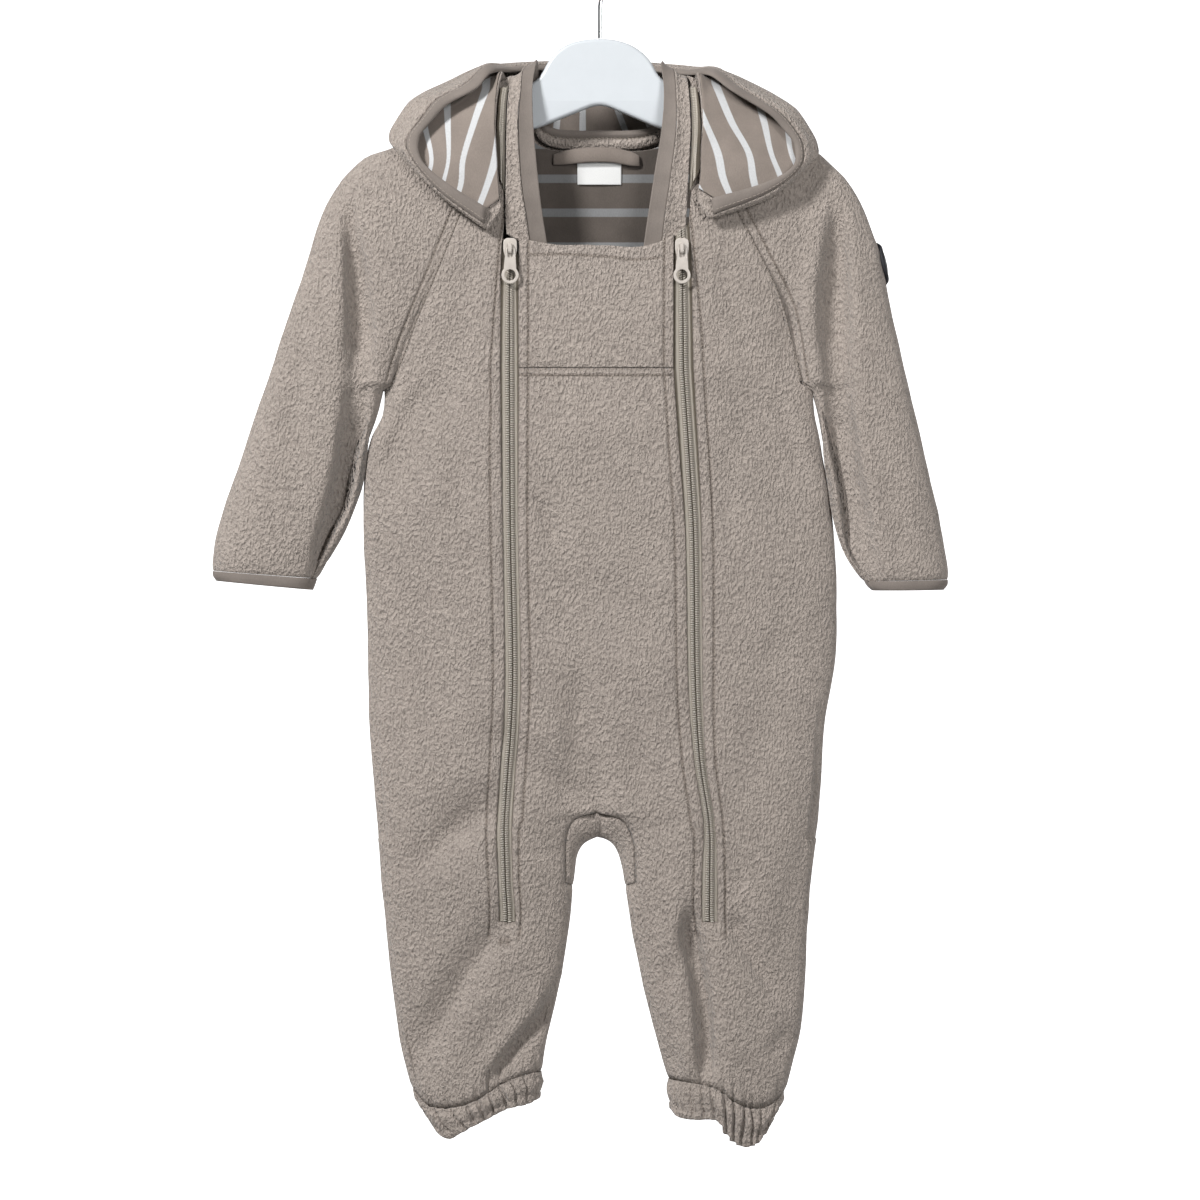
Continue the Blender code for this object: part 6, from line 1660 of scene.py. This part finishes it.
def build_hood_zip(side):
    """Tape and coil of the zip that joins the hood to the collar."""
    low, high = HOOD_ZIP[side]
    rows, steps = 70, 16
    points, across = [], []
    spine = []
    for k in range(rows + 1):
        station = mix(low, high, k / rows)
        near, far = world(*smooth_row(COLLAR, station)[:3]), world(*smooth_row(HOOD, station)[:3])
        run = (far - near).normalized()
        near, far = near + run * 1.2, far - run * 0.4
        spine.append((near, far))
    middle = [(a + b) / 2 for a, b in spine]
    outs = []
    for k in range(rows + 1):
        run = (middle[min(k + 1, rows)] - middle[max(k - 1, 0)]).normalized()
        out = run.cross((spine[k][1] - spine[k][0]).normalized())
        outs.append(out if out.y < 0 else -out)
    for k, (near, far) in enumerate(spine):
        width = (far - near).length
        for s in range(steps + 1):
            share = s / steps
            sink = 0.5 * math.exp(-(((share - 0.5) / 0.1) ** 2))
            points.append(near.lerp(far, share) + outs[k] * (TAPE / 2 - sink))
            across.append(share * width)
    faces = grid_faces(rows + 1, steps + 1)
    obj = cloth("hood_zip_" + side + "_tape", points, grid_normals(points, faces), faces, 0.7,
                ["hood_zip_" + side], roll=0.2)[0]
    dress(obj, "tape")
    tree = finder(points)
    add_values(obj, "across", [across[tree.find(v.co / MM)[1]] for v in obj.data.vertices])
    coil = Pile()
    for a in resampled(middle, 1.25)[:-1]:
        k = min(range(rows + 1), key=lambda i: (middle[i] - a).length)
        cross = (spine[k][1] - spine[k][0]).normalized()
        for sign in (-1, 1):
            start = a + cross * sign * 0.15 + outs[k] * 0.15
            coil.add(start, a + cross * sign * 1.7 + outs[k] * 0.3, 0.42, outs[k])
    coil.build("hood_zip_" + side + "_coil", "coil", "zip")


# ---------------------------------------------------------------- linings, loop, label and badge
BACK_STRIPE_DOWN = 96.6      # middle of the first stripe of the back lining


def build_back_lining(surface, normals):
    faces = []
    for quad, label in zip(surface.quads, surface.labels):
        corners = [surface.points[k] for k in quad]
        inside = all(c.y > LINING_ROOM - 1.5 and -HANGER_DROP - c.z < LINING_DEPTH for c in corners)
        if label == "back" and inside:
            faces.append(quad)

    def slack(point, key):
        return 0.5 * soft_noise(point) - 0.3

    obj = cloth("back_lining_cloth", surface.points, normals, faces, LINING_CLOTH, ["back_lining"],
                lift=-FLEECE - LINING_CLOTH, inset=0.6, roll=0.2, shape=slack)[0]
    # The darker copy of the lining: painted shade in the neck.
    dress(obj, "shaded_striped")
    add_values(obj, "stripe", [(-HANGER_DROP - v.co.z / MM - BACK_STRIPE_DOWN) / STRIPE_PITCH
                               for v in obj.data.vertices])
    return obj


def laid_on(tree, x, down):
    """Point on the lining straight behind a place in the front view, or level with its top."""
    hit = tree.ray_cast(world(x, -5, max(down, LINING_TOP)), Vector((0, 1, 0)))[0]
    return Vector((x, hit.y if hit else 14.0, -HANGER_DROP - down))


def build_loop(lining):
    tree = tree_of(lining)
    rows, steps = 60, 8
    points = []
    for k in range(rows + 1):
        t = k / rows
        x, down, width = along(LOOP, t)
        bow = LOOP_BOW * math.sin(math.pi * t)
        tuck = 1.5 * math.exp(-((t / 0.06) ** 2)) + 1.5 * math.exp(-(((1 - t) / 0.06) ** 2))
        for s in range(steps + 1):
            share = s / steps - 0.5
            place = laid_on(tree, x, down + width * share)
            roll = 0.7 * (1 - (2 * share) ** 2)
            points.append(place - Vector((0, 1.4 + JERSEY + bow + roll - tuck * 0.4, 0)))
    faces = [tuple(reversed(f)) for f in grid_faces(rows + 1, steps + 1)]
    obj = cloth("hanger_loop_cloth", points, grid_normals(points, faces), faces, JERSEY, ["hanger_loop"],
                roll=0.4)[0]
    dress(obj, "loop")


def build_label(lining):
    left, right, top, bottom = LABEL
    tree = tree_of(lining)
    rows, steps = 24, 30
    points = []
    for r in range(rows + 1):
        for c in range(steps + 1):
            x, down = mix(left, right, c / steps), mix(top, bottom, r / rows)
            place = laid_on(tree, x, down)
            curl = 0.5 * math.sin(3.1 * c / steps + 0.6) * (r / rows) ** 2
            points.append(Vector((x, min(place.y, 17.0) - LAY_GAP - 0.9 - curl, place.z)))
    faces = grid_faces(rows + 1, steps + 1)
    obj = cloth("neck_label_cloth", points, grid_normals(points, faces), faces, LABEL_CLOTH, ["neck_label"],
                roll=0.1)[0]
    dress(obj, "label")


def round_sleeve(tree, along_ridge, around):
    """Place and normal on the sleeve: mm along its ridge, and mm round from it to the back."""
    t = BADGE_WAY + along_ridge / RIDGE_LENGTH
    last = world(*upper_sleeve(True, SLEEVE_COLUMNS, t, around > 0))
    left = abs(around)
    for k in range(1, 10 * SLEEVE_COLUMNS):
        point = world(*upper_sleeve(True, SLEEVE_COLUMNS - k / 10, t, around > 0))
        step = (point - last).length
        if step >= left:
            last = last.lerp(point, left / step)
            break
        left -= step
        last = point
    return tree.find_nearest(last)[:2]


def build_badge(sleeve):
    """Plain round badge on the outside of the sleeve, with a raised edge."""
    tree = tree_of(sleeve)
    rings, sectors = 14, 72
    tops, lows, faces = [], [], []
    for ring in range(rings + 1):
        share = ring / rings
        for k in range(sectors):
            angle = 2 * math.pi * k / sectors
            radius = BADGE_RADIUS * share
            hit, normal = round_sleeve(tree, radius * math.cos(angle), BADGE_BEHIND + radius * math.sin(angle))
            edge = 0.5 * math.exp(-(((share - 0.93) / 0.05) ** 2)) - 0.5 * ease(0.96, 1.0, share)
            sunk = share**3
            tops.append(hit + normal * (BADGE_GAP + BADGE_THICKNESS - 0.4 - 1.3 * sunk + edge))
            lows.append(hit + normal * (BADGE_GAP * 0.7 - 0.9 * sunk))
    count = len(tops)
    for ring in range(rings):
        for k in range(sectors):
            n = (k + 1) % sectors
            a, b = ring * sectors, (ring + 1) * sectors
            faces.append((a + k, b + k, b + n, a + n))
            faces.append((a + count + n, b + count + n, b + count + k, a + count + k))
    rim = rings * sectors
    for k in range(sectors):
        n = (k + 1) % sectors
        faces.append((rim + n, rim + k, rim + k + count, rim + n + count))
    obj = new_mesh("sleeve_badge_cloth", tops + lows, faces, parts=["sleeve_badge"])
    turned_out(obj)
    dress(obj, "badge")


SHARP_ANGLE = math.radians(50)     # edges of plates and wire sharper than this stay sharp


def turned_out(obj, sharp=None):
    """Merged points and faces pointing out of a closed mesh."""
    mesh = bmesh.new()
    mesh.from_mesh(obj.data)
    bmesh.ops.remove_doubles(mesh, verts=mesh.verts[:], dist=1e-7)
    bmesh.ops.recalc_face_normals(mesh, faces=mesh.faces[:])
    mesh.to_mesh(obj.data)
    mesh.free()
    obj.data.shade_smooth()
    if sharp:
        obj.data.set_sharp_from_angle(angle=sharp)
    return obj


# ---------------------------------------------------------------- zips
def zip_frames(surface, normals, pairs):
    """Left edge, right edge and outward direction down a slit."""
    return [(surface.points[a], surface.points[b], (normals[a] + normals[b]).normalized()) for a, b in pairs]


def build_zip(side, frames):
    """Tape, the two rows of the coil and the thread that holds them."""
    frames = [f for f in frames if -HANGER_DROP - f[0].z > ZIP_TOP_DOWN - 10]
    steps = 24
    points, across = [], []
    for left, right, out in frames:
        width = (right - left).length
        for s in range(steps + 1):
            share = mix(-0.14, 1.14, s / steps)
            off = (share - 0.5) * width
            rise = 0.55 * math.exp(-((off / 2.6) ** 4))
            points.append(left.lerp(right, share) + out * (rise - TAPE_DEPTH + 0.1))
            across.append(off)
    faces = grid_faces(len(frames), steps + 1)
    obj = cloth("zip_" + side + "_tape", points, grid_normals(points, faces), faces, TAPE, ["zip_" + side],
                roll=0.0)[0]
    dress(obj, "tape")
    tree = finder(points)
    add_values(obj, "across", [across[tree.find(v.co / MM)[1]] for v in obj.data.vertices])
    middle = [(left + right) / 2 + out * (0.75 - TAPE_DEPTH) for left, right, out in frames]
    cross = [(right - left).normalized() for left, right, out in frames]
    outs = [out for _, _, out in frames]
    keyed = finder(middle)
    coil, thread = Pile(), Pile()
    places = resampled(middle, 1.6)
    for n, place in enumerate(places):
        k = keyed.find(place)[1]
        for sign in (-1, 1):
            shift = 0.8 if sign > 0 else 0.0
            run = (middle[min(k + 1, len(middle) - 1)] - middle[max(k - 1, 0)]).normalized()
            start = place + cross[k] * sign * 0.5 + outs[k] * 0.45 + run * shift
            end = place + cross[k] * sign * 2.8 + outs[k] * 0.25 + run * shift
            coil.add(start, end, 0.52, outs[k], sides=6)
            if n % 2 == 0 and n + 2 < len(places):
                a = place + cross[k] * sign * 1.75 + outs[k] * 0.85
                thread.add(a, a + run * 2.4, 0.2, outs[k])
    coil.build("zip_" + side + "_coil", "coil", "zip")
    thread.build("zip_" + side + "_thread", "thread", "zip")


def mesh_of(curve):
    """The mesh of a curve with its bevels."""
    obj = placed(curve.name + "_curve", curve)
    bpy.context.view_layer.update()
    mesh = bpy.data.meshes.new_from_object(obj.evaluated_get(bpy.context.evaluated_depsgraph_get()))
    bpy.data.objects.remove(obj)
    return mesh


def flat_solid(name, outlines, thickness, bevel, origin, axes, body, parts, resolution=3):
    """A plate with rounded edges from closed outlines; the inner ones are holes."""
    curve = bpy.data.curves.new(name, "CURVE")
    curve.dimensions = "2D"
    curve.fill_mode = "BOTH"
    curve.extrude = max(thickness / 2 - bevel, 0.0) * MM
    curve.bevel_depth = bevel * MM
    curve.bevel_resolution = resolution
    curve.offset = -bevel * MM
    for outline in outlines:
        spline = curve.splines.new("POLY")
        spline.points.add(len(outline) - 1)
        for point, (a, b) in zip(spline.points, outline):
            point.co = (a * MM, b * MM, 0, 1)
        spline.use_cyclic_u = True
    mesh = mesh_of(curve)
    first, second, third = axes
    for v in mesh.vertices:
        a, b, c = v.co / MM
        v.co = (origin + first * a + second * b + third * c) * MM
    return riding(turned_out(placed(name, mesh), SHARP_ANGLE), body, parts)


def rounded(outline, radius, count=6):
    """A closed outline with its corners turned into arcs."""
    out = []
    n = len(outline)
    for k in range(n):
        a, b, c = (Vector(outline[(k + i) % n]) for i in (-1, 0, 1))
        into, away = (a - b), (c - b)
        reach = min(radius, into.length * 0.48, away.length * 0.48)
        start, end = b + into.normalized() * reach, b + away.normalized() * reach
        for i in range(count + 1):
            t = i / count
            out.append(tuple(start * (1 - t) ** 2 + b * (2 * t * (1 - t)) + end * t * t))
    return out


def build_slider(side, frames):
    """Slider body with its bail, and the pull tab that hangs in it."""
    base, run, out = slider_frame(frames, SLIDER_DOWN[side])
    across = Vector((1, 0, 0))
    half, wide = SLIDER_LENGTH / 2, SLIDER_WIDTH / 2
    shield = [(-wide, -half * 0.75), (-wide * 0.55, -half), (wide * 0.55, -half), (wide, -half * 0.75),
              (wide, half * 0.2), (wide * 0.6, half), (-wide * 0.6, half), (-wide, half * 0.2)]
    body = flat_solid("slider_" + side + "_body", [rounded(shield, 2.2)], SLIDER_PLATE, 0.7,
                      base + out * (SLIDER_PLATE / 2), (across, run, out), "overall", ["slider_" + side])
    dress(body, "lacquer")
    top = SLIDER_PLATE + AXIS_HEIGHT * 2
    arch = [(-BAIL_REACH, SLIDER_PLATE / 2), (-BAIL_REACH, top), (-BAIL_REACH + 1.2, top + BAIL_TOP),
            (BAIL_REACH - 1.2, top + BAIL_TOP), (BAIL_REACH, top), (BAIL_REACH, SLIDER_PLATE / 2),
            (BAIL_REACH - BAIL_POST, SLIDER_PLATE / 2), (BAIL_REACH - BAIL_POST, top),
            (-BAIL_REACH + BAIL_POST, top), (-BAIL_REACH + BAIL_POST, SLIDER_PLATE / 2)]
    bail = flat_solid("slider_" + side + "_bail", [rounded(arch, 0.55)], BAIL_WIDTH, 0.35, base,
                      (run, out, across), "overall", [])
    dress(bail, "lacquer")
    axis = base + out * (SLIDER_PLATE + AXIS_HEIGHT)
    down, front = Vector((0, 0, -1)), Vector((0, -1, 0))
    top, under, above = PULL_HALF
    start = math.asin(above / RING_RADIUS)
    ring = circle(RING_RADIUS, 40, (RING_DOWN, 0), math.pi - start, -(math.pi - start), closed=False)
    outline = [(-PULL_BAR / 2, -top), (-PULL_BAR / 2, top), (FORK_LENGTH, under), (PULL_NECK, above)]
    outline = rounded(outline, 0.9)[7:14] + [outline[3]] + ring + [(PULL_NECK, -above)] \
        + rounded(outline, 0.9)[:7]
    window = rounded([(PULL_BAR / 2, -FORK_GAP), (PULL_BAR / 2, FORK_GAP), (FORK_LENGTH, FORK_GAP),
                      (FORK_LENGTH, -FORK_GAP)], 0.8)
    hole = circle(RING_HOLE, 36, (RING_DOWN, 0))
    pull = flat_solid("pull_" + side + "_tab", [outline, window, hole], PULL_THICKNESS, 0.32, axis,
                      (down, across, front), side + "_pull", ["pull_" + side])
    dress(pull, "lacquer")


# ---------------------------------------------------------------- hanger and hook
def build_hanger():
    arms = {}
    for sign, ridge in ((-1, RIDGE_LEFT), (1, RIDGE_RIGHT)):
        top = arm_line(ridge, sign)
        tip = [(sign * (ARM_ENDS - back), top[-1][1] + low) for back, low in ((0, 6.5), (1, 15), (8, 18))]
        arms[sign] = top + tip + [(x, down + ARM_HEIGHT + 1.5) for x, down in reversed(top[2:-1])]
    outline = HANGER_NECK + arms[1] + HANGER_UNDERSIDE + arms[-1][::-1]
    flat = [(x, -HANGER_DROP - down) for x, down in rounded(outline, 9.0, 8)]
    hanger = flat_solid("hanger_plastic", [flat], HANGER_THICKNESS, HANGER_BEVEL, Vector(),
                        (Vector((1, 0, 0)), Vector((0, 0, 1)), Vector((0, 1, 0))), "overall", ["hanger"], 6)
    dress(hanger, "plastic")


def build_hook():
    radius = HOOK_INSIDE + HOOK_WIRE / 2
    line = [Vector(p) for p in HOOK_SHANK]
    start, end = (math.radians(a) for a in HOOK_TURN)
    line += [Vector((x, 0, z - HOOK_INSIDE)) for x, z in circle(radius, 60, (0, 0), start, end, closed=False)]
    curve = bpy.data.curves.new("hook_wire", "CURVE")
    curve.dimensions = "3D"
    curve.bevel_depth = HOOK_WIRE / 2 * MM
    curve.bevel_resolution = 10
    curve.use_fill_caps = True
    spline = curve.splines.new("POLY")
    spline.points.add(len(line) - 1)
    for point, place in zip(spline.points, line):
        point.co = (*(place * MM), 1)
        point.radius = 1.0
    hook = riding(turned_out(placed("hook_wire", mesh_of(curve)), SHARP_ANGLE), "overall", ["hook"])
    dress(hook, "chrome")


# ---------------------------------------------------------------- camera, light and floor
def build_stage():
    camera = bpy.data.cameras.new("camera")
    camera.sensor_width = 36
    camera.lens = camera.sensor_width * CAMERA_AWAY / VIEW_WIDTH
    holder = placed("camera", camera)
    holder.location = (0, -CAMERA_AWAY, MIDDLE_OF_VIEW)
    holder.rotation_euler = (math.radians(90), 0, 0)
    bpy.context.scene.camera = holder
    world_light = bpy.data.worlds.new("studio")
    world_light.use_nodes = True
    world_light.node_tree.nodes["Background"].inputs["Color"].default_value = (1, 1, 1, 1)
    world_light.node_tree.nodes["Background"].inputs["Strength"].default_value = WORLD_STRENGTH
    bpy.context.scene.world = world_light
    for name, place, aim, size, power in LIGHTS:
        light = bpy.data.lights.new(name, "AREA")
        light.energy = power
        light.size = size
        lamp = placed(name, light)
        lamp.location = place
        lamp.rotation_euler = (Vector(aim) - Vector(place)).to_track_quat("-Z", "Y").to_euler()
    mesh = bpy.data.meshes.new("studio_wall")
    arc = circle(WALL_RADIUS, WALL_FACES + 1, end=math.pi, closed=False)
    mesh.from_pydata([(x, y, z) for z in WALL_SPAN for x, y in arc], [], grid_faces(2, WALL_FACES + 1))
    mat, shader = material("white_wall", (0.9, 0.9, 0.9), 0.95)
    shader.inputs["Emission Color"].default_value = (1, 1, 1, 1)
    shader.inputs["Emission Strength"].default_value = 1.0
    mesh.materials.append(mat)
    placed("studio_wall", mesh)
    rim = [(*p, FLOOR_LEVEL) for p in circle(WALL_RADIUS, 2 * WALL_FACES)]
    mesh = bpy.data.meshes.new("studio_floor")
    mesh.from_pydata(rim, [], [range(len(rim))])
    mesh.materials.append(material("pale_floor", (0.6, 0.6, 0.6), 0.9)[0])
    placed("studio_floor", mesh)


CAMERA_AWAY = 3.0
VIEW_WIDTH = 0.84         # at the garment
MIDDLE_OF_VIEW = -0.4677
WORLD_STRENGTH = 0.08
FLOOR_LEVEL = -2.1
WALL_RADIUS = 7.0
WALL_FACES = 48
WALL_SPAN = (-4.5, 4.0)
# Lights: name, place, what they aim at, size and watts.
LIGHTS = [("key", (-1.7, -1.7, 1.35), (0, 0, -0.45), 0.5, 106),
          ("fill", (0.75, -1.6, 0.1), (0.03, 0, -0.33), 0.6, 15.5)]


def main():
    bpy.context.scene.view_settings.view_transform = "Standard"
    make_materials()
    surface, ends, zips, tracks = garment()
    normals, panels, lines = build_panels(surface, tracks)
    build_leg_cuffs(surface, ends)
    build_collar()
    build_hood()
    build_hood_zip("left")
    build_hood_zip("right")
    lining = build_back_lining(surface, normals)
    build_loop(lining)
    build_label(lining)
    build_badge(panels["sleeve_right"])
    for side in ("left", "right"):
        frames = zip_frames(surface, normals, zips[side])
        build_zip(side, frames)
        build_slider(side, frames)
    tree = tree_of(*panels.values())
    sew = Sewing("garment_stitches")
    for line in lines.values():
        sew.row(tree, line.points, pitch=line.pitch)
    sew.build()
    build_hanger()
    build_hook()
    build_stage()


main()
